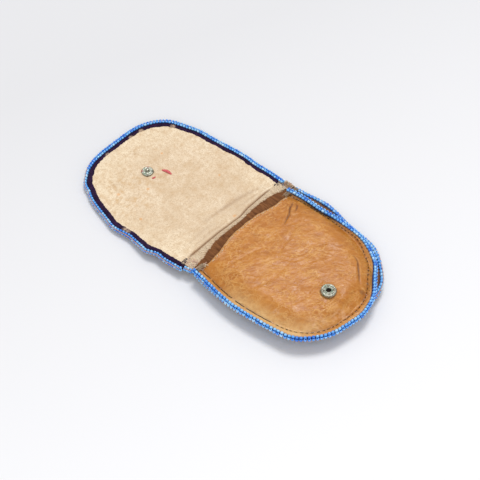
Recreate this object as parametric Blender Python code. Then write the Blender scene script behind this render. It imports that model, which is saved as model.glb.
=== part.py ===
"""Beaded belt pouch, lying on its belt loops with the flap opened out flat.

A flat pocket of two leather panels is edged with rows of glass beads. A cloth-covered flap with a
hide lining hangs on a hide strip that folds twice, once at the pocket and once at the flap, so
that the flap closes over the front panel and its snap stud goes into the socket there.

+Z is up, +X runs across the mouth and +Y runs towards the tip of the open flap. The origin is
under the middle of the pouch, on the surface that it lies on. Lengths are in metres.
"""
import math
from collections import namedtuple

import bmesh
import bpy

MM = 0.001

# Overall sizes over the beads, with lengths measured from the line of the mouth
POCKET_LENGTH = 85.4 * MM
FLAP_LENGTH = 98.0 * MM
FRONT_WIDTH = 85.2 * MM
FLAP_WIDTH = 88.2 * MM

# How much wider the back is than the front panel, and how much sooner it ends at the tip
BACK_OVERWIDTH = 2.6 * MM
BACK_SHORTFALL = 2.2 * MM

# Places of the middles of the back and of the flap's base, measured from the front panel's
BACK_OFFSET = 2.2 * MM
FLAP_OFFSET = 0.6 * MM
FLAP_LEAN = -1.9 * MM
LEAN_RUN = 60.0 * MM

# Clearance between pieces that touch, and the free gap in the snap
FIT_GAP = 0.3 * MM

# Panels of the pocket
PANEL_THICKNESS = 1.2 * MM
POCKET_ROOM = 4.15 * MM
PILLOW_RISE = 1.6 * MM
FRONT_POWER = 3.15
BACK_POWER = 3.0
FRONT_TAPER = 5.0 * MM
BACK_TAPER_LEFT = 4.0 * MM
BACK_TAPER_RIGHT = 2.0 * MM
FLAP_TAPER = 2.8 * MM
TAPER_RUN = 38.0 * MM
SEAM_INSET = 3.0 * MM
ROLL_WIDTH = 13.0 * MM

# The wavy edge of the mouth, measured from the first fold
MOUTH_DIP = 0.6 * MM
MOUTH_WAVE = 2.9 * MM
MOUTH_WAVE_LENGTH = 50.0 * MM

# Flap and hinge strip
STRIP_THICKNESS = 1.1 * MM
STRIP_WIDTH = 77.0 * MM
STRIP_SEAM_DEPTH = 0.35 * MM
STRIP_SEAM_WIDTH = 1.2 * MM
LINING_THICKNESS = 1.0 * MM
COVER_THICKNESS = 0.9 * MM
COVER_BAND = 2.4 * MM
FLAP_POWER = 3.5
FLAP_STRAIGHT = 8.0 * MM
FLAP_CURL = 1.6 * MM
CURL_START = 22.0 * MM
SAG_TURN = 0.8 * math.pi
FOLD_Y = -1.2 * MM

# Bead edging: a bead's width along the edge, and how far it stands out
POCKET_BEAD = 2.0 * MM
FLAP_BEAD = 1.8 * MM
POCKET_EDGING_RADIUS = 2.1 * MM
FLAP_EDGING_RADIUS = 1.9 * MM
BEAD_VALLEY = 0.82
EDGING_START = 3.6 * MM
EDGING_LEAN = 0.75 * MM

# Snap fastener
SNAP_X = -3.2 * MM
STUD_Y = 68.5 * MM
SOCKET_DIAMETER = 8.2 * MM
SOCKET_HEIGHT = 1.8 * MM
SOCKET_RIM = 0.45 * MM
STUD_BASE_DIAMETER = 6.8 * MM
STUD_BASE_HEIGHT = 0.7 * MM
STUD_DIAMETER = 2.4 * MM
STUD_HEIGHT = 1.7 * MM
SNAP_CLEARANCE = 0.3 * MM
SEWING_HOLE = 0.8 * MM
SEWING_CIRCLE = 4.6 * MM
SEWING_HOLES = 4

# Belt loops
BELT_ROOM = 4.3 * MM
BELT_WIDTH_ROOM = 38.0 * MM
LOOP_THICKNESS = 1.6 * MM
LOOP_WIDTH = 14.0 * MM
LOOP_SPACING = 38.0 * MM
LOOP_TAB = 6.0 * MM
LOOP_SLOPE = 5.0 * MM
LOOP_TOP = 5.0 * MM

# Thread lashing round each corner of the mouth
LASHING_WIDTH = 2.4 * MM
LASHING_THREAD = 0.8 * MM
LASHING_START = 0.6 * MM
LASHING_REACH = 4.2 * MM
LASHING_STRANDS = 3

# Mesh fineness
CURVE_COUNT = 22
ROUND_SIDES = 24

# Heights that follow from the sizes above
BACK_BOTTOM = LOOP_THICKNESS + BELT_ROOM
BACK_TOP = BACK_BOTTOM + PANEL_THICKNESS
FOLD_Z = BACK_TOP
FLAP_THICKNESS = LINING_THICKNESS + FIT_GAP + COVER_THICKNESS
FLAP_SAG = FOLD_Z - FLAP_THICKNESS
BACK_EDGE_Z = BACK_TOP - POCKET_EDGING_RADIUS
FRONT_EDGE_Z = BACK_TOP + FIT_GAP + POCKET_EDGING_RADIUS
SEAM_Z = BACK_TOP + FIT_GAP + PANEL_THICKNESS / 2
MOUTH_Z = BACK_TOP + POCKET_ROOM + PANEL_THICKNESS / 2
CROWN_Z = MOUTH_Z + PILLOW_RISE

# Places along the pouch
MOUTH_Y = (POCKET_LENGTH - FLAP_LENGTH) / 2
FOLD_LINE = MOUTH_Y + FOLD_Y
PANEL_TOP_Y = FOLD_LINE - FIT_GAP / 2
POCKET_EDGE = POCKET_EDGING_RADIUS + FIT_GAP
FLAP_EDGE = FLAP_EDGING_RADIUS + FIT_GAP
FLAP_TIP = MOUTH_Y + FLAP_LENGTH - FLAP_EDGE

Outline = namedtuple(
    "Outline", "centre_x half_width straight_y tip_y power taper_left taper_right lean",
)

BACK = Outline(
    BACK_OFFSET, (FRONT_WIDTH + BACK_OVERWIDTH) / 2 - POCKET_EDGE, PANEL_TOP_Y,
    MOUTH_Y - POCKET_LENGTH + BACK_SHORTFALL + POCKET_EDGE, BACK_POWER, BACK_TAPER_LEFT, BACK_TAPER_RIGHT, 0.0,
)
FRONT = Outline(
    0.0, FRONT_WIDTH / 2 - POCKET_EDGE, PANEL_TOP_Y,
    MOUTH_Y - POCKET_LENGTH + POCKET_EDGE, FRONT_POWER, FRONT_TAPER, FRONT_TAPER, 0.0,
)
FLAP = Outline(
    FLAP_OFFSET, FLAP_WIDTH / 2 - FLAP_EDGE, MOUTH_Y + FLAP_STRAIGHT,
    FLAP_TIP, FLAP_POWER, FLAP_TAPER, FLAP_TAPER, FLAP_LEAN,
)


def smooth(value):
    """Ease a value from 0 to 1, flat at both ends."""
    value = min(max(value, 0.0), 1.0)
    return value * value * (3 - 2 * value)


def middle_x(shape, y):
    """Return the middle of an outline at y, which leans over on the flap."""
    return shape.centre_x + shape.lean * smooth(abs(y - MOUTH_Y) / LEAN_RUN)


def side_share(shape, y, side):
    """Return the share of its full width that one side of an outline has at y."""
    taper = shape.taper_right if side > 0 else shape.taper_left
    near = max(1 - abs(y - MOUTH_Y) / TAPER_RUN, 0.0)
    return 1 - taper * near * near / shape.half_width


def placed(shape, across, y):
    """Return the point at a distance across from an outline's middle, before its taper."""
    return middle_x(shape, y) + across * side_share(shape, y, across), y


def outline_turn(shape, turn, inset=0.0, tip_inset=0.0):
    """Return how far across and how far along an untapered outline is at a turn from 0 to pi."""
    cosine = math.cos(turn)
    half = shape.half_width - inset
    reach = abs(shape.tip_y - shape.straight_y) - tip_inset
    across = half * math.copysign(abs(cosine) ** (2 / shape.power), cosine)
    along = math.copysign(reach, shape.tip_y) * math.sin(turn) ** (2 / shape.power)
    return across, shape.straight_y + along


def outline_point(shape, turn):
    """Return the point of an outline at a turn from 0 (+X side) to pi (-X side)."""
    return placed(shape, *outline_turn(shape, turn))


def side_reach(shape, side):
    """Return how far an outline reaches to one side."""
    steps = 400
    return max(side * outline_point(shape, math.pi * step / steps)[0] for step in range(steps + 1))


# Shift that brings the middle of the whole width to zero
WIDTH_SHIFT = (side_reach(FLAP, -1) + FLAP_EDGE - side_reach(BACK, 1) - POCKET_EDGE) / 2
BACK, FRONT, FLAP = [
    shape._replace(centre_x=shape.centre_x + WIDTH_SHIFT) for shape in (BACK, FRONT, FLAP)
]


def edge_x(shape, y, side):
    """Return where one side of an outline lies at y."""
    along = max((y - shape.straight_y) / (shape.tip_y - shape.straight_y), 0.0)
    across = shape.half_width * (1 - along ** shape.power) ** (1 / shape.power)
    return placed(shape, side * across, y)[0]


def distance_inside(shape, x, y):
    """Return how far a point lies inside an outline, near enough for shaping its edge."""
    across = x - middle_x(shape, y)
    across = abs(across) / side_share(shape, y, across)
    along = max((y - shape.straight_y) * math.copysign(1, shape.tip_y), 0.0)
    reach = abs(shape.tip_y - shape.straight_y)
    power = shape.power
    level = (across / shape.half_width) ** power + (along / reach) ** power
    if level < 1e-9:
        return shape.half_width
    ratio = level ** (1 / power)
    slope_x = (across / shape.half_width) ** (power - 1) / shape.half_width
    slope_y = (along / reach) ** (power - 1) / reach
    slope = math.hypot(slope_x, slope_y) * level ** (1 / power - 1)
    return (1 - ratio) / slope


def even_turns(shape, count):
    """Return turns from 0 to pi / 2 whose points lie evenly along an outline."""
    steps = 600
    turns = [math.pi / 2 * (index / steps) ** 2 for index in range(steps + 1)]
    points = [outline_point(shape, turn) for turn in turns]
    lengths = [0.0]
    for first, second in zip(points, points[1:]):
        lengths.append(lengths[-1] + math.dist(first, second))
    result = []
    place = 0
    for index in range(count + 1):
        wanted = lengths[-1] * index / count
        while place < steps - 1 and lengths[place + 1] < wanted:
            place += 1
        share = (wanted - lengths[place]) / (lengths[place + 1] - lengths[place])
        result.append(turns[place] + (turns[place + 1] - turns[place]) * share)
    return result


def mouth_dip(x):
    """Return how far the front panel's mouth edge hangs below its corners at x."""
    across = (x - FRONT.centre_x) / FRONT.half_width
    wave = math.sin(math.pi * (x - FRONT.centre_x) / MOUTH_WAVE_LENGTH) ** 2
    return MOUTH_DIP * (1 - min(abs(across), 1.0) ** 6) + MOUTH_WAVE * wave


def back_height(x, y):
    """Height of the middle of the back panel, which droops a little at its edge."""
    depth = distance_inside(BACK, x, y)
    flat = BACK_BOTTOM + PANEL_THICKNESS / 2
    return flat - (flat - BACK_EDGE_Z) * (1 - smooth(depth / SEAM_INSET))


def front_height(x, y):
    """Height of the middle of the front panel: a lip, a seam, and a pillow inside it."""
    depth = distance_inside(FRONT, x, y)
    if depth < SEAM_INSET:
        return SEAM_Z + (FRONT_EDGE_Z - SEAM_Z) * (1 - smooth(depth / SEAM_INSET))
    roll = math.sin(math.pi / 2 * min((depth - SEAM_INSET) / ROLL_WIDTH, 1.0))
    crown = MOUTH_Z + (CROWN_Z - MOUTH_Z) * smooth((PANEL_TOP_Y - y) / (POCKET_LENGTH / 3))
    return SEAM_Z + (crown - SEAM_Z) * roll


SOCKET_SEAT = CROWN_Z + PANEL_THICKNESS / 2
MATED_STACK = SOCKET_HEIGHT + STUD_BASE_HEIGHT + 3 * FIT_GAP


def sag_share(y, fold_end):
    """Share of the flap's full sag at y, from 0 at its fold to 1 where it touches down."""
    return math.sin(SAG_TURN * max(y - fold_end, 0.0) / (FLAP_TIP - fold_end))


def flap_curl(x, y, fold_end):
    """Height by which the sides of the flap curl up."""
    across = (x - middle_x(FLAP, y)) / FLAP.half_width
    return FLAP_CURL * across * across * smooth((y - fold_end) / CURL_START)


def spine_width():
    """Width of the hinge strip that lets the stud reach down into the socket when closed."""
    stud_y = MOUTH_Y + STUD_Y
    width = 0.0
    for _ in range(20):
        fold_end = FOLD_LINE + width
        drop = FLAP_SAG * sag_share(stud_y, fold_end) - flap_curl(SNAP_X, stud_y, fold_end)
        width = SOCKET_SEAT + MATED_STACK - FOLD_Z - drop
    return width


SPINE = spine_width()
FLAP_FOLD_LINE = FOLD_LINE + SPINE
FLAP_BASE_Y = FLAP_FOLD_LINE + FIT_GAP / 2
SOCKET_Y = 2 * FOLD_LINE + SPINE - (MOUTH_Y + STUD_Y)


def flap_height(x, y):
    """Height of the flap's inner face, which sags to the table and curls up at its sides."""
    sag = FLAP_SAG * sag_share(y, FLAP_FOLD_LINE)
    return FOLD_Z - sag + flap_curl(x, y, FLAP_FOLD_LINE)


def clear_scene():
    """Remove every object of the scene that is open."""
    for item in list(bpy.data.objects):
        bpy.data.objects.remove(item, do_unlink=True)


def material(name, colour, roughness, metallic=0.0):
    """Make a plain Principled material."""
    result = bpy.data.materials.new(name)
    result.use_nodes = True
    shader = result.node_tree.nodes["Principled BSDF"]
    shader.inputs["Base Color"].default_value = (*colour, 1.0)
    shader.inputs["Roughness"].default_value = roughness
    shader.inputs["Metallic"].default_value = metallic
    return result


def finish(name, mesh_data, surface, axis=None, sharp_degrees=40.0):
    """Turn a bmesh into a named object, with its origin on its joint's axis if it moves."""
    bmesh.ops.recalc_face_normals(mesh_data, faces=mesh_data.faces)
    if axis is not None:
        bmesh.ops.translate(mesh_data, verts=mesh_data.verts, vec=-axis.matrix_world.translation)
    mesh = bpy.data.meshes.new(name)
    mesh_data.to_mesh(mesh)
    mesh_data.free()
    mesh.shade_smooth()
    mesh.set_sharp_from_angle(angle=math.radians(sharp_degrees))
    mesh.materials.append(surface)
    item = bpy.data.objects.new(name, mesh)
    bpy.context.collection.objects.link(item)
    item.parent = axis
    return item


def fold_axis(name, y, parent=None):
    """Make an empty on a fold, at the inner face of the leather."""
    empty = bpy.data.objects.new(name, None)
    bpy.context.collection.objects.link(empty)
    empty.location = (0.0, y, FOLD_Z)
    if parent is not None:
        empty.parent = parent
        empty.location = (0.0, y - parent.location.y, 0.0)
    bpy.context.view_layer.update()
    return empty


def panel(shape, insets, base_y, place, top, bottom):
    """Build a closed sheet from U-shaped rings that all end on its open base.

    insets say how far each ring lies inside the outline, place moves a grid point in the
    sheet's plane, and top and bottom give the heights of the two faces.
    """
    turns = even_turns(shape, CURVE_COUNT)
    has_base = abs(base_y - shape.straight_y) > FIT_GAP
    sheet = bmesh.new()

    def tip_inset(inset):
        if inset <= ROLL_WIDTH / 2:
            return inset
        return ROLL_WIDTH / 2 + (inset - ROLL_WIDTH / 2) * 0.35

    def column(inset, side):
        line = [outline_turn(shape, turn, inset, tip_inset(inset)) for turn in turns]
        if has_base:
            line.insert(0, (line[0][0], base_y))
        return [place(*placed(shape, side * across, y)) for across, y in line]

    def ring(inset, height):
        points = column(inset, 1) + column(inset, -1)[-2::-1]
        return [sheet.verts.new((x, y, height(x, y, inset))) for x, y in points]

    def middle(height):
        points = column(shape.half_width, 1)
        line = [sheet.verts.new((x, y, height(x, y, shape.half_width))) for x, y in points]
        return line + line[-2::-1]

    faces = []
    for height in (top, bottom):
        rings = [ring(inset, height) for inset in insets]
        rings.append(middle(height))
        faces.append(rings)
        for outer, inner in zip(rings, rings[1:]):
            for index in range(len(outer) - 1):
                corners = [outer[index], outer[index + 1], inner[index + 1], inner[index]]
                distinct = list(dict.fromkeys(corners))
                sheet.faces.new(distinct)
    top_rings, bottom_rings = faces
    for index in range(len(top_rings[0]) - 1):
        sheet.faces.new((top_rings[0][index], top_rings[0][index + 1],
                         bottom_rings[0][index + 1], bottom_rings[0][index]))
    for side in (0, -1):
        for index in range(len(top_rings) - 1):
            sheet.faces.new((top_rings[index][side], top_rings[index + 1][side],
                             bottom_rings[index + 1][side], bottom_rings[index][side]))
    return sheet


def spread(first, last, count):
    """Return insets from first to last, closer together near first."""
    return [first + (last - first) * (index / count) ** 1.5 for index in range(count + 1)]


def make_back_panel(surface):
    """Brown leather back of the pocket, flat but for its drooping edge."""
    insets = spread(0.0, BACK.half_width, 7)
    insets[1:2] = [SEAM_INSET / 2, SEAM_INSET]
    half = PANEL_THICKNESS / 2
    return finish("back_panel", panel(
        BACK, insets[:-1], PANEL_TOP_Y, lambda x, y: (x, y),
        lambda x, y, _: back_height(x, y) + half,
        lambda x, y, _: back_height(x, y) - half,
    ), surface)


def front_place(x, y):
    """Move a point of the front panel so that its base follows the wavy mouth edge."""
    share = (FRONT.straight_y - y) / (FRONT.straight_y - FRONT.tip_y)
    return x, y - mouth_dip(x) * (1 - share) ** 3


def make_front_panel(surface):
    """Tan leather front of the pocket, pillowed, with a wavy mouth edge."""
    roll_insets = [SEAM_INSET + ROLL_WIDTH * share for share in (0.18, 0.42, 0.7, 1.0)]
    inner = [SEAM_INSET + ROLL_WIDTH + (FRONT.half_width - SEAM_INSET - ROLL_WIDTH) * share
             for share in (0.3, 0.6)]
    insets = [0.0, SEAM_INSET / 2, SEAM_INSET] + roll_insets + inner
    half = PANEL_THICKNESS / 2
    return finish("front_panel", panel(
        FRONT, insets, PANEL_TOP_Y, front_place,
        lambda x, y, _: front_height(x, y) + half,
        lambda x, y, _: front_height(x, y) - half,
    ), surface)


def make_flap_lining(surface, axis):
    """Cream hide inside the flap's cloth, within its turned-over band."""
    first = COVER_BAND + FIT_GAP
    insets = spread(first, FLAP.half_width, 6)[:-1]
    return finish("flap_lining", panel(
        FLAP, insets, FLAP_BASE_Y, lambda x, y: (x, y),
        lambda x, y, _: flap_height(x, y),
        lambda x, y, _: flap_height(x, y) - LINING_THICKNESS,
    ), surface, axis)


def make_flap_cover(surface, axis):
    """Dark cloth outside of the flap, with its edge turned up round the lining."""
    band_slope = 0.2 * MM
    floor = LINING_THICKNESS + FIT_GAP
    inner = spread(COVER_BAND, FLAP.half_width, 6)[1:-1]
    insets = [0.0, COVER_BAND - band_slope, COVER_BAND] + inner

    def top(x, y, inset):
        if inset < COVER_BAND:
            return flap_height(x, y)
        return flap_height(x, y) - floor

    return finish("flap_cover", panel(
        FLAP, insets, FLAP_BASE_Y, lambda x, y: (x, y), top,
        lambda x, y, _: flap_height(x, y) - FLAP_THICKNESS,
    ), surface, axis)


def sweep(stations, ring_at):
    """Build a closed solid through rings of points, one ring at each station."""
    solid = bmesh.new()
    rings = [[solid.verts.new(point) for point in ring_at(index)] for index in range(stations)]
    for first, second in zip(rings, rings[1:]):
        for index in range(len(first)):
            after = (index + 1) % len(first)
            solid.faces.new((first[index], first[after], second[after], second[index]))
    solid.faces.new(rings[0])
    solid.faces.new(rings[-1])
    return solid


def edge_path(shape, start_y, spacing):
    """Return evenly spaced points along an outline, with the outward direction at each."""
    steps = 1600
    direction = math.copysign(1, shape.tip_y)
    dense = [outline_point(shape, math.pi * index / steps) for index in range(steps + 1)]
    base_steps = 12
    for step in range(1, base_steps + 1):
        y = shape.straight_y + (start_y - shape.straight_y) * step / base_steps
        if (shape.straight_y - start_y) * direction > 0:
            dense.insert(0, placed(shape, shape.half_width, y))
            dense.append(placed(shape, -shape.half_width, y))
    dense = [point for point in dense if (point[1] - start_y) * direction >= 0]
    lengths = [0.0]
    for first, second in zip(dense, dense[1:]):
        lengths.append(lengths[-1] + math.dist(first, second))
    count = 2 * round(lengths[-1] / spacing / 2)
    result = []
    place = 0
    for index in range(count + 1):
        wanted = lengths[-1] * index / count
        while place < len(dense) - 2 and lengths[place + 1] < wanted:
            place += 1
        share = (wanted - lengths[place]) / (lengths[place + 1] - lengths[place])
        first, second = dense[place], dense[place + 1]
        point = [a + (b - a) * share for a, b in zip(first, second)]
        before = dense[max(place - 2, 0)]
        beyond = dense[min(place + 3, len(dense) - 1)]
        run = (beyond[0] - before[0], beyond[1] - before[1])
        size = math.hypot(*run)
        outward = (-run[1] / size * direction * -1, run[0] / size * direction * -1)
        result.append((point, outward))
    return result


def make_edging(name, shape, start_y, bead, radius, edge_height, surface, axis=None):
    """Row of beads rolled over a panel's edge, fused into one lobed strip."""
    path = edge_path(shape, start_y, bead / 2)
    angles = [math.radians(angle) for angle in (90, 45, 0, -45, -90)]

    def ring_at(index):
        (x, y), (out_x, out_y) = path[index]
        height = edge_height(x, y)
        size = radius if index % 2 else radius * BEAD_VALLEY
        points = []
        for angle in angles:
            out = FIT_GAP + size * math.cos(angle)
            points.append((x + out_x * out, y + out_y * out, height + size * math.sin(angle)))
        return points

    return finish(name, sweep(len(path), ring_at), surface, axis)


def make_hinge_strip(surface, axis):
    """Hide strip that folds at the pocket and at the flap, with a sewn seam along it."""
    first = FOLD_LINE + FIT_GAP / 2
    last = FLAP_FOLD_LINE - FIT_GAP / 2
    seam = (first + last) / 2
    half_seam = STRIP_SEAM_WIDTH / 2
    top = FOLD_Z
    bottom = FOLD_Z - STRIP_THICKNESS
    profile = [
        (first, bottom), (last, bottom), (last, top), (seam + half_seam, top),
        (seam, top - STRIP_SEAM_DEPTH), (seam - half_seam, top), (first, top),
    ]
    columns = 8

    def ring_at(index):
        x = FLAP.centre_x + STRIP_WIDTH * (index / columns - 0.5)
        return [(x, y, z) for y, z in profile]

    return finish("hinge_strip", sweep(columns + 1, ring_at), surface, axis, 25.0)


def turned(profile, centre):
    """Build a solid turned about the upright line through centre from (radius, height) points."""
    solid = bmesh.new()
    rings = []
    for radius, height in profile:
        if radius < 1e-7:
            rings.append([solid.verts.new((centre[0], centre[1], centre[2] + height))])
            continue
        ring = []
        for index in range(ROUND_SIDES):
            angle = 2 * math.pi * index / ROUND_SIDES
            ring.append(solid.verts.new((
                centre[0] + radius * math.cos(angle),
                centre[1] + radius * math.sin(angle),
                centre[2] + height,
            )))
        rings.append(ring)
    closed = rings if len(rings[0]) == 1 else rings + [rings[0]]
    for first, second in zip(closed, closed[1:]):
        for index in range(ROUND_SIDES):
            after = (index + 1) % ROUND_SIDES
            corners = [
                first[index % len(first)], first[after % len(first)],
                second[after % len(second)], second[index % len(second)],
            ]
            solid.faces.new(list(dict.fromkeys(corners)))
    return solid


def make_snap_socket(surface):
    """Sewn-on snap half on the front panel, with the hole that the stud goes into."""
    outer = SOCKET_DIAMETER / 2
    hole = STUD_DIAMETER / 2 + SNAP_CLEARANCE
    rim = SOCKET_RIM
    profile = [
        (hole, 0.0), (outer, 0.0), (outer, SOCKET_HEIGHT - rim), (outer - rim, SOCKET_HEIGHT),
        (outer - 3 * rim, SOCKET_HEIGHT), (outer - 3.6 * rim, SOCKET_HEIGHT - 0.6 * rim),
        (hole + 1.6 * rim, SOCKET_HEIGHT - 0.6 * rim), (hole + rim, SOCKET_HEIGHT),
        (hole, SOCKET_HEIGHT),
    ]
    solid = turned(profile, (SNAP_X, SOCKET_Y, SOCKET_SEAT + FIT_GAP))
    return finish("snap_socket", solid, surface, None, 30)


def make_snap_stud(surface, axis):
    """Sewn-on snap half on the flap's lining: a thin disc with a stud and sewing holes."""
    y = MOUTH_Y + STUD_Y
    seat = flap_height(SNAP_X, y) + FIT_GAP
    outer = STUD_BASE_DIAMETER / 2
    neck = STUD_DIAMETER / 2
    bevel = 0.25 * MM
    profile = [
        (0.0, 0.0), (outer - bevel, 0.0), (outer, bevel), (outer, STUD_BASE_HEIGHT - bevel),
        (outer - bevel, STUD_BASE_HEIGHT), (neck * 0.85, STUD_BASE_HEIGHT),
        (neck * 0.85, STUD_BASE_HEIGHT + STUD_HEIGHT * 0.4),
        (neck, STUD_BASE_HEIGHT + STUD_HEIGHT * 0.65),
        (neck * 0.7, STUD_BASE_HEIGHT + STUD_HEIGHT * 0.95),
        (0.0, STUD_BASE_HEIGHT + STUD_HEIGHT),
    ]
    stud = finish("snap_stud", turned(profile, (SNAP_X, y, seat)), surface, axis, 30)
    for index in range(SEWING_HOLES):
        angle = 2 * math.pi * (index + 0.5) / SEWING_HOLES
        cutter_mesh = bmesh.new()
        bmesh.ops.create_cone(
            cutter_mesh, cap_ends=True, segments=12, radius1=SEWING_HOLE / 2,
            radius2=SEWING_HOLE / 2, depth=4 * STUD_BASE_HEIGHT,
        )
        centre = (
            SNAP_X + SEWING_CIRCLE / 2 * math.cos(angle),
            y + SEWING_CIRCLE / 2 * math.sin(angle),
            seat + STUD_BASE_HEIGHT / 2,
        )
        bmesh.ops.translate(cutter_mesh, verts=cutter_mesh.verts, vec=centre)
        cutter = finish(f"sewing_hole_cutter_{index + 1}", cutter_mesh, surface, axis)
        cutter.hide_render = True
        cutter.display_type = "WIRE"
        cut = stud.modifiers.new(f"sewing_hole_{index + 1}", "BOOLEAN")
        cut.object = cutter
        cut.operation = "DIFFERENCE"
        cut.solver = "EXACT"
    return stud


def make_belt_loop(name, x, surface):
    """Leather strap under the back panel, bowed away from it to take a belt."""
    start = PANEL_TOP_Y - LOOP_TOP
    sloped = BACK_BOTTOM - FIT_GAP - LOOP_THICKNESS
    runs = [LOOP_TAB, LOOP_SLOPE, BELT_WIDTH_ROOM, LOOP_SLOPE, LOOP_TAB]
    stops = [start]
    for run in runs:
        stops.append(stops[-1] - run)
    slope_steps = 5
    line = [(stops[0], sloped), (stops[1], sloped)]
    for index in range(1, slope_steps + 1):
        share = index / slope_steps
        line.append((stops[1] - LOOP_SLOPE * share, sloped * (1 - smooth(share))))
    for index in range(slope_steps + 1):
        share = index / slope_steps
        line.append((stops[3] - LOOP_SLOPE * share, sloped * smooth(share)))
    line.append((stops[5], sloped))

    def ring_at(index):
        y, bottom = line[index]
        half = LOOP_WIDTH / 2
        top = bottom + LOOP_THICKNESS
        return [(x - half, y, bottom), (x + half, y, bottom), (x + half, y, top), (x - half, y, top)]

    return finish(name, sweep(len(line), ring_at), surface)


def make_corner_lashing(name, side, surface):
    """Thread wound round both panels at a corner of the mouth, as one ridged band."""
    middle_y = PANEL_TOP_Y - LASHING_START - LASHING_WIDTH / 2
    half_thread = LASHING_THREAD / 2
    stand_off = FIT_GAP + half_thread
    top_x = edge_x(FRONT, middle_y, side) * side
    low_x = edge_x(BACK, middle_y, side) * side
    outer_x = max(top_x, low_x) + FIT_GAP
    half_panel = PANEL_THICKNESS / 2
    front_lip = FRONT_EDGE_Z + half_panel + stand_off
    back_lip = BACK_EDGE_Z - half_panel - stand_off
    seam_x = top_x - LASHING_REACH
    seam_top = front_height(side * seam_x, middle_y) + half_panel + stand_off
    path = [
        (seam_x, seam_top),
        (top_x - LASHING_REACH / 2, front_lip),
        (top_x, front_lip),
        (top_x + stand_off + FIT_GAP, FRONT_EDGE_Z),
        (outer_x, BACK_TOP + stand_off),
        (low_x + stand_off, BACK_EDGE_Z),
        (low_x + stand_off, BACK_EDGE_Z - half_panel),
        (low_x - half_thread, back_lip - half_thread / 4),
        (low_x - LASHING_REACH / 2, back_lip),
        (low_x - LASHING_REACH, min(BACK_BOTTOM - stand_off, back_lip + half_panel)),
    ]
    section = []
    for index in range(2 * LASHING_STRANDS + 1):
        across = LASHING_WIDTH * (index / (2 * LASHING_STRANDS) - 0.5)
        section.append((across, half_thread if index % 2 else half_thread * 0.5))
    section += [(LASHING_WIDTH / 2, -half_thread), (-LASHING_WIDTH / 2, -half_thread)]

    def ring_at(index):
        before = path[max(index - 1, 0)]
        after = path[min(index + 1, len(path) - 1)]
        run = (after[0] - before[0], after[1] - before[1])
        size = math.hypot(*run)
        out = (-run[1] / size, run[0] / size)
        x, z = path[index]
        return [
            (side * (x + out[0] * off), middle_y + across, z + out[1] * off) for across, off in section
        ]

    return finish(name, sweep(len(path), ring_at), surface, None, 50)


def main():
    """Model the whole pouch."""
    clear_scene()
    tan_leather = material("front_leather", (0.61, 0.28, 0.09), 0.5)
    brown_leather = material("back_leather", (0.19, 0.08, 0.03), 0.6)
    hide = material("cream_hide", (0.86, 0.73, 0.52), 0.85)
    cloth = material("dark_cloth", (0.03, 0.012, 0.03), 0.9)
    glass = material("blue_beads", (0.03, 0.22, 0.84), 0.15)
    metal = material("snap_metal", (0.36, 0.37, 0.29), 0.4, 1.0)
    thread = material("sinew_thread", (0.3, 0.2, 0.12), 0.8)

    strip_axis = fold_axis("strip_fold_axis", FOLD_LINE)
    flap_axis = fold_axis("flap_fold_axis", FLAP_FOLD_LINE, strip_axis)

    make_back_panel(brown_leather)
    make_front_panel(tan_leather)
    make_edging(
        "back_bead_edging", BACK, PANEL_TOP_Y - EDGING_START, POCKET_BEAD, POCKET_EDGING_RADIUS,
        lambda x, y: BACK_EDGE_Z, glass,
    )
    make_edging(
        "front_bead_edging", FRONT, PANEL_TOP_Y - EDGING_START, POCKET_BEAD, POCKET_EDGING_RADIUS,
        lambda x, y: FRONT_EDGE_Z, glass,
    )
    make_snap_socket(metal)
    make_belt_loop("belt_loop_left", BACK.centre_x - LOOP_SPACING / 2, brown_leather)
    make_belt_loop("belt_loop_right", BACK.centre_x + LOOP_SPACING / 2, brown_leather)
    make_corner_lashing("corner_lashing_left", -1, thread)
    make_corner_lashing("corner_lashing_right", 1, thread)

    make_hinge_strip(hide, strip_axis)

    make_flap_lining(hide, flap_axis)
    make_flap_cover(cloth, flap_axis)
    make_edging(
        "flap_bead_edging", FLAP, FLAP_BASE_Y + EDGING_LEAN, FLAP_BEAD, FLAP_EDGING_RADIUS,
        lambda x, y: flap_height(x, y) - FLAP_THICKNESS / 2, glass, flap_axis,
    )
    make_snap_stud(metal, flap_axis)


main()
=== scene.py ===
import math
import random
from collections import namedtuple

import bmesh
import bpy
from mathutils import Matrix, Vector, noise


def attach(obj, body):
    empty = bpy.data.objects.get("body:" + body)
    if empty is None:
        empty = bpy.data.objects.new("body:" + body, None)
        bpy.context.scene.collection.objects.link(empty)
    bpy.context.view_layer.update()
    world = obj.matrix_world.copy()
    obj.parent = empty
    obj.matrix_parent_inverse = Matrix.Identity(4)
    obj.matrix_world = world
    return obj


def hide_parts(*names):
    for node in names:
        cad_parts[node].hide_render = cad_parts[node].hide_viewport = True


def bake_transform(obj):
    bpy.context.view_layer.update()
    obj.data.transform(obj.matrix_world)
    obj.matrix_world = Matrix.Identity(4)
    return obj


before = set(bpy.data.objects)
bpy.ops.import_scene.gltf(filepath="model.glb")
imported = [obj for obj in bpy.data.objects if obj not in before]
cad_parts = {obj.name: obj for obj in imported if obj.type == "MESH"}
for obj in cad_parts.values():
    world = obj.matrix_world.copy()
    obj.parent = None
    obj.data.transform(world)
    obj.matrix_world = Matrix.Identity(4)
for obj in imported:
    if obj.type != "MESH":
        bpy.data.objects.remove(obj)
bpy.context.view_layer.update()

# Beaded belt pouch: its looks, dressed round the solid model. Sizes are in millimetres and are
# turned into metres as each mesh is made.
MM = 0.001
SEED = 11

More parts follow.
